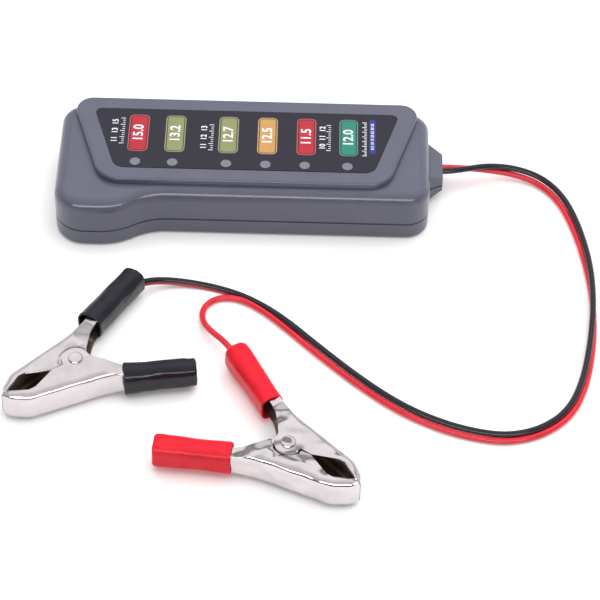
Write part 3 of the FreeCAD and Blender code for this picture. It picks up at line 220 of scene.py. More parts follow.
# Settings
class CaseSettings(bpy.types.PropertyGroup):
    """Finish of the two housings and what they hold."""
    housing: colour_setting("Housing", "Colour of the moulded housings", linear(92, 93, 109))
    grain: length_setting("Grain", "Size of the moulded grain on the housings", 0.35 * MM)
    lens: colour_setting("Lens", "Colour of the unlit lamps", linear(121, 119, 133))
    window: length_setting("Lamp window", "Radius of the disc over a lamp", 1.72 * MM)
    window_height: length_setting("Window height", "Disc over a lamp, above the label", 0.15 * MM)


class LabelSettings(bpy.types.PropertyGroup):
    """Face label and its print."""
    film: colour_setting("Film", "Colour of the label film", linear(24, 21, 39))
    red: colour_setting("Red ink", "Colour of the red patches", linear(178, 36, 52))
    olive: colour_setting("Olive ink", "Colour of the olive patches", linear(138, 141, 96))
    amber: colour_setting("Amber ink", "Colour of the amber patch", linear(194, 148, 86))
    green: colour_setting("Green ink", "Colour of the green patch", linear(40, 130, 112))
    blue: colour_setting("Blue ink", "Colour of the blue strip", linear(46, 54, 136))
    white: colour_setting("White ink", "Colour of the numbers and scales", linear(236, 236, 238))
    patch_length: length_setting("Patch length", "Patches from front to back", 17.4 * MM)
    patch_middle: length_setting("Patch middle", "Middle of the patches along Y", 7.15 * MM)
    patch_corner: length_setting("Patch corner", "Radius of a patch's corners", 1.7 * MM)
    frame_width: length_setting("Frame", "Lighter frame around a patch", 0.32 * MM)
    line_width: length_setting("Line", "Dark line inside a patch's frame", 0.38 * MM)
    ink: length_setting("Ink", "Thickness of the print", 0.03 * MM)
    number_height: length_setting("Number height", "Size of the numbers on the patches", 4.6 * MM)
    scale_height: length_setting("Scale height", "Size of the numbers on the scales", 2.7 * MM)
    boldness: length_setting("Boldness", "Widening of the strokes of the numbers", 0.09 * MM)


class LeadSettings(bpy.types.PropertyGroup):
    """Twin lead."""
    black: colour_setting("Black vinyl", "Colour of the black lead", linear(22, 21, 31))
    red: colour_setting("Red vinyl", "Colour of the red lead", linear(220, 32, 50))
    diameter: length_setting("Diameter", "One lead", 2.0 * MM)
    black_length: length_setting("Black length", "Black lead from the board to its crimp", 342 * MM)
    red_length: length_setting("Red length", "Red lead from the board to its crimp", 349 * MM)
    web: length_setting("Web", "Torn web left along the black lead past the split", 1.3 * MM)


class ClipSettings(bpy.types.PropertyGroup):
    """Battery clips and their sleeves."""
    nickel: colour_setting("Nickel", "Colour of the plated sheet", linear(212, 205, 207))
    # the inside colour is painted shade, darker than the nickel where the jaw's channel lies in shadow
    inside: colour_setting("Inside", "Colour of the dull sheet inside the jaws", linear(140, 126, 116))
    black: colour_setting("Black vinyl", "Colour of the black sleeves", linear(28, 27, 38))
    red: colour_setting("Red vinyl", "Colour of the red sleeves", linear(226, 18, 42))
    sleeve_width: length_setting("Sleeve width", "Sleeves across, in the clip's plane", 8.2 * MM)
    sleeve_height: length_setting("Sleeve height", "Sleeves up and down", 10.2 * MM)
    sleeve_wall: length_setting("Sleeve wall", "Thickness of the sleeves", 0.7 * MM)
    crease: length_setting("Crease", "Depth of a sleeve's creases", 0.3 * MM)
    handle_angle: bpy.props.FloatProperty(name="Handle angle", subtype="ANGLE", default=math.radians(27.0),
                                          description="Handle's slope from the clip's axis")
    handle_offset: length_setting("Handle offset", "Handle's axis from the line through the rivet", 4.8 * MM)


class StageSettings(bpy.types.PropertyGroup):
    """Floor, lights and camera."""
    camera: bpy.props.FloatVectorProperty(name="Camera", description="Place of the camera",
                                          subtype="TRANSLATION", unit="LENGTH",
                                          default=(0.0172, -0.5705, 0.5619))
    elevation: bpy.props.FloatProperty(name="Elevation", description="How far the camera looks down",
                                       subtype="ANGLE", default=math.radians(47.0))
    roll: bpy.props.FloatProperty(name="Roll", description="Turn of the camera about its own axis",
                                  subtype="ANGLE", default=math.radians(1.46))
    lens: bpy.props.FloatProperty(name="Lens", description="Focal length in millimetres on a 36 mm sensor",
                                  unit="CAMERA", default=144.0)
    floor: colour_setting("Floor", "Colour of the floor", (0.92, 0.92, 0.92))
    floor_glow: bpy.props.FloatProperty(name="Floor glow", description="Light that the floor gives off",
                                        min=0.0, default=0.1)
    sky: bpy.props.FloatProperty(name="Sky", description="Strength of the surrounding light", default=0.95)


SETTINGS = {
    "tester_case": CaseSettings,
    "tester_label": LabelSettings,
    "tester_leads": LeadSettings,
    "tester_clips": ClipSettings,
    "tester_stage": StageSettings,
}


# Modelling helpers
def clear_selection():
    if bpy.context.object is not None and bpy.context.object.mode != "OBJECT":
        bpy.ops.object.mode_set(mode="OBJECT")
    bpy.ops.object.select_all(action="DESELECT")


def activate(piece):
    clear_selection()
    piece.select_set(True)
    bpy.context.view_layer.objects.active = piece


def settle(piece, matrix=Matrix.Identity(4)):
    """Moves a piece by a matrix and puts its place into its mesh."""
    activate(piece)
    piece.matrix_world = matrix @ piece.matrix_world
    bpy.ops.object.transform_apply(location=True, rotation=True, scale=True)


def pick(piece, kind, wanted):
    """Selects, in edit mode, the elements of one kind that wanted accepts."""
    bpy.ops.mesh.select_mode(type=kind)
    bpy.ops.mesh.select_all(action="DESELECT")
    mesh = bmesh.from_edit_mesh(piece.data)
    elements = {"VERT": mesh.verts, "EDGE": mesh.edges, "FACE": mesh.faces}[kind]
    for element in elements:
        element.select_set(wanted(element))
    mesh.select_flush_mode()
    bmesh.update_edit_mesh(piece.data)


def new_primitive(name, add, **sizes):
    clear_selection()
    add(**sizes)
    piece = bpy.context.object
    piece.name = name
    piece.data.name = name
    return piece


def finish_with(piece, kind, **values):
    """Adds a modifier with the values given and applies it."""
    activate(piece)
    modifier = piece.modifiers.new(kind.lower(), kind)
    for name, value in values.items():
        setattr(modifier, name, value)
    bpy.ops.object.modifier_apply(modifier=modifier.name)


def smooth(piece, angle=40.0):
    activate(piece)
    bpy.ops.object.shade_smooth_by_angle(angle=math.radians(angle))


def paint(piece, *materials):
    piece.data.materials.clear()
    for material in materials:
        piece.data.materials.append(material)


def dress(nodes, material):
    """Gives CAD nodes a finish."""
    for node in nodes:
        paint(frame["nodes"][node], material)


# Finishes
def link(tree, source, target):
    tree.links.new(source, target)


def noise(tree, size, detail=3.0):
    """Noise in the piece's own coordinates, with features about size metres across."""
    place = tree.nodes.new("ShaderNodeTexCoord")
    texture = tree.nodes.new("ShaderNodeTexNoise")
    texture.inputs["Scale"].default_value = 1.0 / size
    texture.inputs["Detail"].default_value = detail
    link(tree, place.outputs["Object"], texture.inputs["Vector"])
    return texture.outputs["Fac"]


def spread(tree, source, low, high):
    """Stretches the middle of a noise from low to high."""
    node = tree.nodes.new("ShaderNodeMapRange")
    node.inputs["From Min"].default_value = NOISE_LOW
    node.inputs["From Max"].default_value = NOISE_HIGH
    node.inputs["To Min"].default_value = low
    node.inputs["To Max"].default_value = high
    link(tree, source, node.inputs["Value"])
    return node.outputs["Result"]


def tint(tree, source, first, second):
    """Colour between two colours, along the middle of a noise."""
    node = tree.nodes.new("ShaderNodeValToRGB")
    for element, place, colour in zip(node.color_ramp.elements, (NOISE_LOW, NOISE_HIGH), (first, second)):
        element.position = place
        element.color = (*colour, 1.0)
    link(tree, source, node.inputs["Fac"])
    return node.outputs["Color"]


def relief(tree, source, height, under=None):
    node = tree.nodes.new("ShaderNodeBump")
    node.inputs["Distance"].default_value = height
    link(tree, source, node.inputs["Height"])
    if under is not None:
        link(tree, under, node.inputs["Normal"])
    return node.outputs["Normal"]


def shaded(colour, share):
    return tuple(min(1.0, v * share) for v in colour)


def surface(name, colour, vary=0.08, cloud=6 * MM, rough=(0.4, 0.5), grain=0.4 * MM, height=0.01 * MM,
            wave=None, wave_height=0.0, **sockets):
    """Finish with clouded colour, uneven gloss and a fine grain, over a slow wave where one is given."""
    material = bpy.data.materials.new(name)
    material.use_nodes = True
    tree = material.node_tree
    shader = tree.nodes["Principled BSDF"]
    clouds = noise(tree, cloud)
    shades = tint(tree, clouds, shaded(colour, 1 - vary), shaded(colour, 1 + vary))
    link(tree, shades, shader.inputs["Base Color"])
    link(tree, spread(tree, noise(tree, cloud * GLOSS_CLOUD, detail=5.0), *rough), shader.inputs["Roughness"])
    under = None
    if wave is not None:
        under = relief(tree, noise(tree, wave, detail=1.0), wave_height)
    link(tree, relief(tree, noise(tree, grain, detail=2.0), height, under), shader.inputs["Normal"])
    for socket, value in sockets.items():
        shader.inputs[socket.replace("_", " ")].default_value = value
    return material


def paint_seam_shadow(material):
    """Paints shadow into a housing's colour along the parting line, in and beside its gap."""
    tree = material.node_tree
    base = tree.nodes["Principled BSDF"].inputs["Base Color"]
    colour = base.links[0].from_socket
    place = tree.nodes.new("ShaderNodeTexCoord")
    split = tree.nodes.new("ShaderNodeSeparateXYZ")
    band = tree.nodes.new("ShaderNodeMath")
    band.operation = "COMPARE"
    band.inputs[1].default_value = SEAM_SHADOW_LEVEL * MM
    band.inputs[2].default_value = SEAM_SHADOW_HALF * MM
    mix = tree.nodes.new("ShaderNodeMixRGB")
    mix.blend_type = "MULTIPLY"
    mix.inputs["Color2"].default_value = (SEAM_SHADOW_SHARE, SEAM_SHADOW_SHARE, SEAM_SHADOW_SHARE, 1.0)
    link(tree, place.outputs["Object"], split.inputs["Vector"])
    link(tree, split.outputs["Z"], band.inputs[0])
    link(tree, band.outputs["Value"], mix.inputs["Fac"])
    link(tree, colour, mix.inputs["Color1"])
    link(tree, mix.outputs["Color"], base)


def housing_finish(case):
    material = surface("housing_satin", case.housing, vary=0.04, cloud=9 * MM, rough=(0.2, 0.26),
                       grain=case.grain, height=0.003 * MM, wave=14 * MM, wave_height=0.02 * MM)
    # painted shadow darkens the housing colour along the parting line
    paint_seam_shadow(material)
    return material


def nickel_finish(name, clips, rough, wave_height):
    return surface(name, clips.nickel, vary=0.05, cloud=5 * MM, rough=rough, grain=0.5 * MM,
                   height=0.003 * MM, wave=9 * MM, wave_height=wave_height, Metallic=1.0)


def vinyl_finish(name, colour, rough, shine):
    return surface(name, colour, vary=0.1, cloud=5 * MM, rough=rough, grain=0.5 * MM,
                   height=0.01 * MM, wave=3 * MM, wave_height=0.08 * MM, Specular_IOR_Level=shine)


def ink_finish(name, colour):
    return surface(f"{name}_ink", colour, vary=0.05, cloud=2 * MM, rough=(0.35, 0.45), grain=0.15 * MM,
                   height=0.003 * MM, Specular_IOR_Level=0.4)


# Piece makers
class HousingFinish(bpy.types.Operator):
    """Satin finish on both housings, with painted shadow along their parting line"""
    bl_idname = "battery_tester.housing"
    bl_label = "Housings"

    def execute(self, context):
        dress(("upper_housing", "lower_housing"), housing_finish(context.scene.tester_case))
        return {"FINISHED"}


def add_lamp_window(number, case, material):
    """Flat grey disc with a rounded rim over a lamp."""
    low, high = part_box(f"led_{number}")
    base = print_level() - case.window_height * WINDOW_SUNK
    depth = case.window_height * (1 + WINDOW_SUNK)
    window = new_primitive(f"lamp_window_{number}", bpy.ops.mesh.primitive_cylinder_add,
                           vertices=WINDOW_STEPS, radius=case.window, depth=depth, location=(0, 0, depth / 2))
    settle(window)
    bpy.ops.object.mode_set(mode="EDIT")
    pick(window, "FACE", lambda face: face.normal.z > 0.5)
    bpy.ops.mesh.bevel(offset=case.window_height * WINDOW_ROUND, segments=3, affect="EDGES")
    pick(window, "FACE", lambda face: face.normal.z > 0.999)
    bpy.ops.mesh.inset(thickness=case.window * WINDOW_RIM)
    bpy.ops.transform.translate(value=(0, 0, -case.window_height * WINDOW_DIP))
    bpy.ops.object.mode_set(mode="OBJECT")
    smooth(window, 30.0)
    settle(window, Matrix.Translation(((low.x + high.x) / 2, (low.y + high.y) / 2, base)))
    paint(window, material)
    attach(window, "root")


class InnerFinish(bpy.types.Operator):
    """Finishes of the lamps, their windows, the board, its parts, the cable tie and the screws"""
    bl_idname = "battery_tester.inner_parts"
    bl_label = "Lamps and inner parts"

    def execute(self, context):
        case = context.scene.tester_case
        lens = surface("lamp_lens", case.lens, vary=0.06, cloud=1.2 * MM, rough=(0.4, 0.5), grain=0.3 * MM,
                       height=0.004 * MM, Subsurface_Weight=0.15, Subsurface_Scale=0.4 * MM)
        for number in range(1, len(PATCHES) + 1):
            dress([f"led_{number}"], lens)
            add_lamp_window(number, case, lens)
        finishes = {
            "led_legs": surface("tinned_wire", (0.6, 0.6, 0.62), rough=(0.3, 0.4), Metallic=1.0),
            "circuit_board": surface("board_laminate", (0.02, 0.14, 0.05), vary=0.3, cloud=1.5 * MM),
            "control_chip": surface("chip_epoxy", (0.02, 0.02, 0.021), rough=(0.5, 0.6)),
            "resistors": surface("resistor_glaze", (0.03, 0.03, 0.035), rough=(0.2, 0.3)),
            "smoothing_capacitor": surface("capacitor_can", (0.6, 0.6, 0.62), rough=(0.2, 0.3),
                                           Metallic=1.0),
            "polarity_diode": surface("diode_epoxy", (0.025, 0.025, 0.025), rough=(0.35, 0.45)),
            "cable_tie": surface("tie_nylon", (0.75, 0.74, 0.7), rough=(0.4, 0.5)),
            "housing_screws": surface("screw_zinc", (0.55, 0.55, 0.56), rough=(0.3, 0.45), Metallic=1.0),
        }
        for node, material in finishes.items():
            dress([node], material)
        return {"FINISHED"}


def print_level():
    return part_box("face_label")[1].z


def fix_to_label(piece):
    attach(piece, "root")


def add_patch(name, middle, size, label, inks):
    """Printed patch: a rounded plate with a lighter frame, a dark line and a plain field."""
    piece = new_primitive(name, bpy.ops.mesh.primitive_plane_add, size=1.0)
    paint(piece, *inks)
    piece.scale = (*size, 1.0)
    settle(piece)
    bpy.ops.object.mode_set(mode="EDIT")
    bpy.ops.mesh.select_all(action="SELECT")
    corner = min(label.patch_corner, min(size) * PATCH_CORNER_SHARE)
    bpy.ops.mesh.bevel(offset=corner, segments=PATCH_CORNER_STEPS, affect="VERTICES")
    bpy.ops.mesh.select_mode(type="FACE")
    bpy.ops.mesh.select_all(action="SELECT")
    for index, width in enumerate((label.frame_width, label.line_width)[:len(inks) - 1], start=1):
        bpy.ops.mesh.inset(thickness=width)
        mesh = bmesh.from_edit_mesh(piece.data)
        for face in mesh.faces:
            if face.select:
                face.material_index = index
        bmesh.update_edit_mesh(piece.data)
    bpy.ops.object.mode_set(mode="OBJECT")
    finish_with(piece, "SOLIDIFY", thickness=label.ink, offset=1.0)
    settle(piece, Matrix.Translation((*middle, print_level())))
    fix_to_label(piece)


def add_number(name, words, middle, height, level, label, ink):
    """Plain number that reads from front to back."""
    clear_selection()
    bpy.ops.object.text_add()
    piece = bpy.context.object
    piece.name = name
    piece.data.body = words
    piece.data.size = height
    piece.data.align_x = "CENTER"
    piece.data.align_y = "CENTER"
    piece.data.offset = label.boldness * height / label.number_height
    piece.data.extrude = label.ink * GLYPH_SHARE
    piece.data.resolution_u = GLYPH_STEPS
    bpy.ops.object.convert(target="MESH")
    place = Matrix.Translation((*middle, level)) @ Matrix.Rotation(math.radians(90), 4, "Z")
    settle(piece, place)
    paint(piece, ink)
    fix_to_label(piece)


def add_scale(name, x, low, high, count, ink):
    """Column of printed ticks, every third one long."""
    ticks = []
    step = (high - low) / (count - 1)
    for index in range(count):
        length = (TICK_LONG if index % LONG_EVERY == 0 else TICK_SHORT) * MM
        tick = new_primitive(f"{name}_tick", bpy.ops.mesh.primitive_cube_add, size=1.0)
        tick.scale = (length, TICK_WIDTH * MM, TICK_THICKNESS * MM)
        tick.location = (x - length / 2, low + step * index, print_level() + TICK_THICKNESS / 2 * MM)
        ticks.append(tick)
    clear_selection()
    for tick in ticks:
        tick.select_set(True)
    bpy.context.view_layer.objects.active = ticks[0]
    bpy.ops.object.join()
    piece = bpy.context.object
    piece.name = name
    settle(piece)
    finish_with(piece, "BEVEL", width=TICK_BEVEL * MM, segments=1)
    paint(piece, ink)
    fix_to_label(piece)


class FaceLabel(bpy.types.Operator):
    """Label film, its coloured patches, their numbers and the scales between them"""
    bl_idname = "battery_tester.face_label"
    bl_label = "Face label"

    def execute(self, context):
        label = context.scene.tester_label
        film = surface("label_film", label.film, vary=0.05, cloud=3 * MM, rough=(0.32, 0.4), grain=0.2 * MM,
                       height=0.004 * MM)
        dress(["face_label"], film)
        white = ink_finish("white", label.white)
        made = {}
        for number, (ink, width, words) in enumerate(PATCHES, start=1):
            if ink not in made:
                colour = tuple(getattr(label, ink))
                edge = ink_finish(f"{ink}_edge", tuple(v * EDGE_SHARE + EDGE_WHITE for v in colour))
                line = ink_finish(f"{ink}_line", shaded(colour, LINE_SHARE))
                made[ink] = (edge, line, ink_finish(ink, colour))
            low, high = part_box(f"led_{number}")
            middle = ((low.x + high.x) / 2 + PATCH_SHIFT * MM, label.patch_middle)
            add_patch(f"patch_{number}", middle, (width * MM, label.patch_length), label, made[ink])
            add_number(f"patch_number_{number}", words, middle, label.number_height,
                       print_level() + label.ink, label, white)
        for number, (x, words, gap, middle) in enumerate(SCALES, start=1):
            add_number(f"scale_numbers_{number}", words, ((x - gap) * MM, middle * MM), label.scale_height,
                       print_level() + label.ink * GLYPH_SHARE, label, white)
            add_scale(f"scale_{number}", x * MM, (middle - SCALE_HALF) * MM, (middle + SCALE_HALF) * MM,
                      SCALE_TICKS, white)
        add_scale("end_scale", END_SCALE["x"] * MM, END_SCALE["low"] * MM, END_SCALE["high"] * MM,
                  END_SCALE["ticks"], white)
        middle = (BLUE_STRIP["x"] * MM, BLUE_STRIP["y"] * MM)
        size = (BLUE_STRIP["width"] * MM, BLUE_STRIP["length"] * MM)
        add_patch("blue_strip", middle, size, label, (ink_finish("blue", label.blue),))
        add_number("blue_strip_numbers", BLUE_STRIP["words"], middle, size[0] * BLUE_STRIP["words_share"],
                   print_level() + label.ink, label, white)
        return {"FINISHED"}


def clip_frame(colour):
    """Matrix from a clip's own frame to the part's frame: rivet axis along Z, tips along X."""
    joint = next(j for j in frame["joints"] if j["name"].startswith(colour))
    turn = Matrix.Rotation(math.radians(CLIP_TURNS[colour]), 4, "Z")
    matrix = Matrix.Translation(joint["pos_m"]) @ turn
    if colour == "black":
        matrix = matrix @ Matrix.Rotation(math.pi, 4, "X")
    return matrix


def handle_frame(clips, distance, side, offset):
    """Frame on a handle, Z along it and X outwards: side is 1 for the wire jaw and -1 for the grip."""
    run = Vector((-math.cos(clips.handle_angle), math.sin(clips.handle_angle) * side, 0))
    out = Vector((math.sin(clips.handle_angle), math.cos(clips.handle_angle) * side, 0))
    across = run.cross(out)
    matrix = Matrix((out, across, run)).transposed().to_4x4()
    matrix.translation = run * distance + out * offset
    return matrix


def section_at(sections, share):
    """Width, height and shift of a sleeve at a share of its length, eased between the sections given."""
    before = max((section for section in sections if section[0] <= share + TOLERANCE), key=lambda s: s[0])
    after = min((section for section in sections if section[0] >= share - TOLERANCE), key=lambda s: s[0])
    span = after[0] - before[0]
    mix = (share - before[0]) / span if span > 0 else 0.0
    mix = mix * mix * (3 - 2 * mix)
    return [first + (second - first) * mix for first, second in zip(before[1:], after[1:])]


def shape_rings(piece, length, sections, clips):
    """Scales and shifts the rings of a straight sleeve to its sections."""
    levels = sorted({round(vertex.co.z, LEVEL_DIGITS) for vertex in piece.data.vertices})
    bpy.ops.object.mode_set(mode="EDIT")
    for level in levels:
        width, height, shift = section_at(sections, min(level / length, 1.0))
        share = (width * MM / clips.sleeve_width, height * MM / clips.sleeve_height, 1.0)
        pick(piece, "VERT", lambda vertex: abs(vertex.co.z - level) < TOLERANCE)
        bpy.ops.transform.resize(value=share, center_override=(0.0, 0.0, level))
        bpy.ops.transform.translate(value=(shift * MM, 0.0, 0.0))
    bpy.ops.object.mode_set(mode="OBJECT")


def crease(piece, size, depth, stretch=2.5):
    """Presses soft creases into a sleeve, drawn out along it."""
    piece.scale = (1.0, 1.0, 1.0 / stretch)
    settle(piece)
    texture = bpy.data.textures.new(f"{piece.name}_creases", "CLOUDS")
    texture.noise_scale = size
    finish_with(piece, "DISPLACE", texture=texture, strength=depth, mid_level=0.5, texture_coords="LOCAL")
    piece.scale = (1.0, 1.0, stretch)
    settle(piece)


def add_sleeve(name, plan, clips, material):
    """Soft vinyl sleeve along Z with its open foot at the origin."""
    length = (plan["far"] - plan["foot"]) * MM
    closed = plan["end_round"] > 0
    piece = new_primitive(name, bpy.ops.mesh.primitive_cube_add, size=1.0)
    piece.scale = (clips.sleeve_width, clips.sleeve_height, length)
    piece.location = (0, 0, length / 2)
    settle(piece)
    bpy.ops.object.mode_set(mode="EDIT")
    pick(piece, "FACE", lambda face: face.normal.z < -0.5 or (not closed and face.normal.z > 0.5))
    bpy.ops.mesh.delete(type="ONLY_FACE")
    pick(piece, "EDGE", lambda edge: abs(edge.verts[0].co.z - edge.verts[1].co.z) > length / 2)
    bpy.ops.mesh.bevel(offset=plan["corner"] * MM, segments=SLEEVE_CORNER_STEPS, affect="EDGES")
    if closed:
        pick(piece, "EDGE", lambda edge: all(v.co.z > length * SLEEVE_END for v in edge.verts))
        bpy.ops.mesh.bevel(offset=plan["end_round"] * MM, segments=SLEEVE_END_STEPS, affect="EDGES")
    pick(piece, "EDGE", lambda edge: abs(edge.verts[0].co.z - edge.verts[1].co.z) > length / 2)
    bpy.ops.mesh.subdivide(number_cuts=SLEEVE_CUTS)
    bpy.ops.object.mode_set(mode="OBJECT")
    shape_rings(piece, length, plan["sections"], clips)
    finish_with(piece, "SOLIDIFY", thickness=clips.sleeve_wall, offset=-1.0, use_even_offset=True)
    finish_with(piece, "SUBSURF", levels=1, render_levels=1)
    crease(piece, plan["crease"] * MM, clips.crease)
    smooth(piece, 60.0)
    paint(piece, material)
    return piece


class Sleeves(bpy.types.Operator):
    """Soft vinyl sleeves on the four handles"""
    bl_idname = "battery_tester.sleeves"
    bl_label = "Sleeves"

    def execute(self, context):
        clips = context.scene.tester_clips
        vinyl = {colour: vinyl_finish(f"{colour}_vinyl", getattr(clips, colour), *gloss)
                 for colour, gloss in SLEEVE_GLOSS.items()}
        for plan in SLEEVE_PLANS:
            colour = plan["colour"]
            name = f"{colour}_{plan['jaw']}_sleeve"
            piece = add_sleeve(f"{name}_vinyl", plan, clips, vinyl[colour])
            side = 1 if plan["jaw"] == "wire" else -1
            place = handle_frame(clips, plan["foot"] * MM, side, clips.handle_offset)
            settle(piece, clip_frame(colour) @ place)
            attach(piece, "root" if plan["jaw"] == "wire" else f"{colour} grip")
            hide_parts(name)
        return {"FINISHED"}


def copy_node(node, name):
    """Merged copy of a CAD node's mesh, as a piece of its own."""
    piece = bpy.data.objects.new(name, frame["nodes"][node].data.copy())
    bpy.context.scene.collection.objects.link(piece)
    activate(piece)
    bpy.ops.object.mode_set(mode="EDIT")
    bpy.ops.mesh.select_all(action="SELECT")
    bpy.ops.mesh.remove_doubles(threshold=TOLERANCE)
    bpy.ops.object.mode_set(mode="OBJECT")
    smooth(piece)
    return piece


def faces_inwards(face, to_clip):
    """Whether a jaw's face looks into the channel of the bent sheet, where painted shade goes."""
    middle = to_clip @ face.center
    normal = to_clip.to_3x3() @ face.normal
    if abs(middle.z) > INSIDE_HALF * MM:
        return False
    outwards = Vector((max(middle.x - NOSE_START * MM, 0.0), middle.y, 0.0)).normalized()
    return normal.dot(outwards) < -INWARDS or normal.z * math.copysign(1.0, middle.z) < -INWARDS


def add_jaw(node, body, to_clip, nickel, painted_shade):
    """Pressed jaw with painted shade and a rougher finish inside its channel."""
    piece = copy_node(node, f"{node}_sheet")
    finish_with(piece, "WEIGHTED_NORMAL", mode="FACE_AREA_WITH_ANGLE", weight=100, keep_sharp=True)
    paint(piece, nickel, painted_shade)
    for face in piece.data.polygons:
        face.material_index = 1 if faces_inwards(face, to_clip) else 0
    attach(piece, body)
    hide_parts(node)


class ClipMetal(bpy.types.Operator):
    """Nickel jaws and rivets, and brass crimps, with painted shade inside the jaws"""
    bl_idname = "battery_tester.clip_metal"
    bl_label = "Clip metal"

    def execute(self, context):
        clips = context.scene.tester_clips
        brass = surface("crimp_brass", (0.7, 0.48, 0.18), rough=(0.3, 0.4), Metallic=1.0)
        # painted shade: a darker, rougher metal finish for the faces inside the jaws' channels
        painted_shade = surface("jaw_inside", clips.inside, vary=0.15, cloud=3 * MM, rough=(0.4, 0.5), grain=0.4 * MM,
                       height=0.004 * MM, Metallic=1.0)
        for colour, (rough, wave_height) in NICKEL.items():
            nickel = nickel_finish(f"{colour}_clip_nickel", clips, rough, wave_height * MM)
            dress([f"{colour}_clip_rivet"], nickel)
            dress([f"{colour}_wire_crimp"], brass)
            for jaw, body in (("wire", "root"), ("grip", f"{colour} grip")):
                add_jaw(f"{colour}_{jaw}_jaw", body, clip_frame(colour).inverted(), nickel, painted_shade)
        return {"FINISHED"}


class Springs(bpy.types.Operator):
    """Clip springs in steel, as copies of the CAD springs; the real ones twist about their rivets as the
    grips are squeezed, but these copies don't
    """
    bl_idname = "battery_tester.springs"
    bl_label = "Springs"

    def execute(self, context):
        steel = surface("spring_steel", (0.42, 0.42, 0.43), rough=(0.3, 0.4), grain=0.2 * MM, Metallic=1.0)
        for colour in COLOURS:
            node = f"{colour}_clip_spring"
            piece = copy_node(node, f"{node}_wire")
            paint(piece, steel)
            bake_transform(piece)
            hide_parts(node)
        return {"FINISHED"}


def new_curve(name, kind, points):
    """Open curve of one spline with the control points given, in metres."""
    data = bpy.data.curves.new(name, "CURVE")
    data.dimensions = "3D"
    spline = data.splines.new(kind)
    spline.points.add(len(points) - 1)
    for control, point in zip(spline.points, points):
        control.co = (*point, 1.0)
    piece = bpy.data.objects.new(name, data)
    bpy.context.scene.collection.objects.link(piece)
    return piece


def new_route(name, points):
    """Smooth curve along a lead's route."""
    piece = new_curve(name, "NURBS", [[value * MM for value in point] for point in points])
    piece.data.resolution_u = ROUTE_STEPS
    spline = piece.data.splines[0]
    spline.order_u = 3
    spline.use_endpoint_u = True
    return piece


def make_round(piece, diameter, steps):
    """Gives a curve a round section and closed ends."""
    piece.data.bevel_depth = diameter / 2
    piece.data.bevel_resolution = steps
    piece.data.use_fill_caps = True


def line_points(piece):
    mesh = bpy.data.meshes.new_from_object(piece)
    points = [vertex.co.copy() for vertex in mesh.vertices]
    bpy.data.meshes.remove(mesh)
    return points


class Leads(bpy.types.Operator):
    """Red and black leads, bonded as far as the split, with the torn web past it"""
    bl_idname = "battery_tester.leads"
    bl_label = "Leads"

    def execute(self, context):
        leads = context.scene.tester_leads
        for colour, points in ROUTES.items():
            material = vinyl_finish(f"{colour}_lead_vinyl", getattr(leads, colour), *LEAD_GLOSS)
            piece = new_route(f"{colour}_lead_cord", points)
            path = line_points(piece)
            make_round(piece, leads.diameter, LEAD_STEPS)
            paint(piece, material)
            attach(piece, "root")
            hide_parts(f"{colour}_lead")
            if colour == "black":
                self.add_web(path, leads)
        return {"FINISHED"}

    def add_web(self, path, leads):
        """Red web along the lower front of the black lead, from the split to its sleeve, its red darkened by
        painted shade.
        """
        shift = Vector(WEB_SIDE) * leads.diameter * WEB_SHIFT
        points = [point + shift for point in path
                  if WEB_END_X * MM < point.x < WEB_START_X * MM and point.y < WEB_FRONT_Y * MM]
        piece = new_curve("black_lead_web", "POLY", points)
        make_round(piece, leads.web, WEB_STEPS)
        # the web's red is darkened by painted shade, as it lies under the black lead
        paint(piece, surface("web_vinyl", shaded(leads.red, WEB_PAINTED_SHADE), vary=0.1, rough=(0.4, 0.5)))
        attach(piece, "root")


class Cords(bpy.types.Operator):
    """Gathers the pieces of each lead's clip and reads each lead's length, without using either"""
    bl_idname = "battery_tester.cords"
    bl_label = "Cords"

    def execute(self, context):
        leads = context.scene.tester_leads
        for colour, route in ROUTES.items():
            pieces = [bpy.data.objects[f"{colour}_{part}"] for part in CLIP_PIECES]
            if colour == "black":
                pieces.append(bpy.data.objects["black_lead_web"])
            getattr(leads, f"{colour}_length")
        return {"FINISHED"}


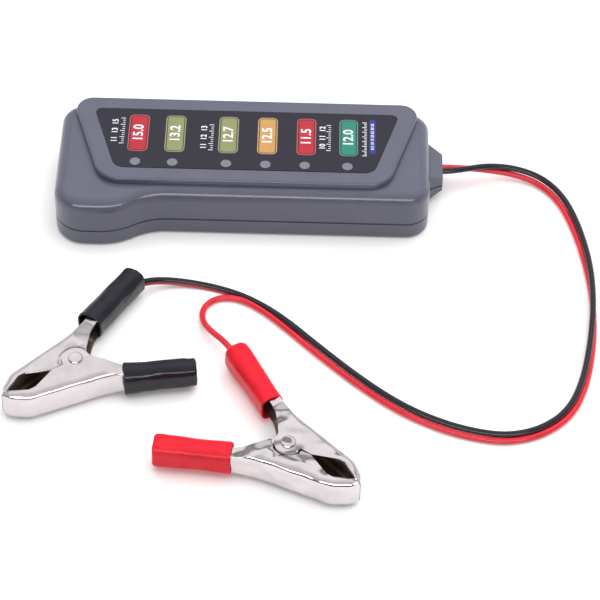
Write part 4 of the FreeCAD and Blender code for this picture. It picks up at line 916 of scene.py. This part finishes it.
class Stage(bpy.types.Operator):
    """Pale floor, soft studio lights and the camera"""
    bl_idname = "battery_tester.stage"
    bl_label = "Stage"

    def execute(self, context):
        stage = context.scene.tester_stage
        self.add_floor(stage)
        self.add_sky(context.scene, stage)
        for light in LIGHTS:
            self.add_light(*light)
        data = bpy.data.cameras.new("photo_camera")
        data.lens = stage.lens
        data.clip_start = NEAR_CLIP
        camera = bpy.data.objects.new("photo_camera", data)
        context.scene.collection.objects.link(camera)
        camera.location = stage.camera
        camera.rotation_mode = "ZYX"
        camera.rotation_euler = (math.pi / 2 - stage.elevation, 0.0, stage.roll)
        context.scene.camera = camera
        context.scene.view_settings.view_transform = "Standard"
        return {"FINISHED"}

    def add_floor(self, stage):
        floor = new_primitive("floor", bpy.ops.mesh.primitive_plane_add, size=FLOOR_SIZE)
        paper = surface("floor_paper", stage.floor, vary=0.005, cloud=0.4, rough=(0.7, 0.75), grain=2 * MM,
                        height=0.0, Emission_Color=(1.0, 1.0, 1.0, 1.0), Emission_Strength=stage.floor_glow)
        paint(floor, paper)

    def add_sky(self, scene, stage):
        """White sweep behind and overhead, and a darker room in front."""
        world = bpy.data.worlds.new("studio")
        scene.world = world
        world.use_nodes = True
        tree = world.node_tree
        background = tree.nodes["Background"]
        background.inputs["Strength"].default_value = stage.sky
        place = tree.nodes.new("ShaderNodeTexCoord")
        split = tree.nodes.new("ShaderNodeSeparateXYZ")
        turn = tree.nodes.new("ShaderNodeMapRange")
        turn.inputs["From Min"].default_value = -SKY_TURN
        turn.inputs["From Max"].default_value = SKY_TURN
        mix = tree.nodes.new("ShaderNodeMixRGB")
        link(tree, place.outputs["Generated"], split.inputs["Vector"])
        link(tree, split.outputs["Y"], turn.inputs["Value"])
        link(tree, turn.outputs["Result"], mix.inputs["Fac"])
        for socket, steps in (("Color1", FRONT_SKY), ("Color2", BACK_SKY)):
            link(tree, self.sky_band(tree, split.outputs["Z"], steps), mix.inputs[socket])
        link(tree, mix.outputs["Color"], background.inputs["Color"])

    def sky_band(self, tree, height, steps):
        band = tree.nodes.new("ShaderNodeValToRGB")
        while len(band.color_ramp.elements) < len(steps):
            band.color_ramp.elements.new(0.5)
        for element, (position, level) in zip(band.color_ramp.elements, steps):
            element.position = position
            element.color = (level, level, level, 1.0)
        link(tree, height, band.inputs["Fac"])
        return band.outputs["Color"]

    def add_light(self, name, place, width, height, power, lights_colour, shows_in_gloss):
        data = bpy.data.lights.new(name, "AREA")
        data.shape = "RECTANGLE"
        data.size = width
        data.size_y = height
        data.energy = power
        light = bpy.data.objects.new(name, data)
        bpy.context.scene.collection.objects.link(light)
        light.location = place
        light.visible_diffuse = lights_colour
        light.visible_glossy = shows_in_gloss
        light.rotation_mode = "QUATERNION"
        light.rotation_quaternion = (Vector(AIM) - Vector(place)).to_track_quat("-Z", "Y")


PIECE_OPERATORS = (Stage, HousingFinish, InnerFinish, FaceLabel, Leads, ClipMetal, Springs, Sleeves, Cords)


class TesterPanel(bpy.types.Panel):
    """Makers and settings of the battery tester"""
    bl_idname = "VIEW3D_PT_battery_tester"
    bl_label = "Battery tester"
    bl_space_type = "VIEW_3D"
    bl_region_type = "UI"
    bl_category = "Tester"

    def draw(self, context):
        for name, settings in SETTINGS.items():
            box = self.layout.box()
            box.label(text=settings.__doc__)
            for setting in settings.__annotations__:
                box.prop(getattr(context.scene, name), setting)
        for operator in PIECE_OPERATORS:
            self.layout.operator(operator.bl_idname)


CLASSES = (*SETTINGS.values(), *PIECE_OPERATORS, TesterPanel)


def register():
    for item in CLASSES:
        bpy.utils.register_class(item)
    for name, settings in SETTINGS.items():
        setattr(bpy.types.Scene, name, bpy.props.PointerProperty(type=settings))


def unregister():
    for name in SETTINGS:
        delattr(bpy.types.Scene, name)
    for item in reversed(CLASSES):
        bpy.utils.unregister_class(item)


def main():
    register()
    bpy.ops.battery_tester.stage()
    bpy.ops.battery_tester.housing()
    bpy.ops.battery_tester.inner_parts()
    bpy.ops.battery_tester.face_label()
    bpy.ops.battery_tester.leads()
    bpy.ops.battery_tester.clip_metal()
    bpy.ops.battery_tester.springs()
    bpy.ops.battery_tester.sleeves()
    bpy.ops.battery_tester.cords()


if __name__ == "__main__":
    main()
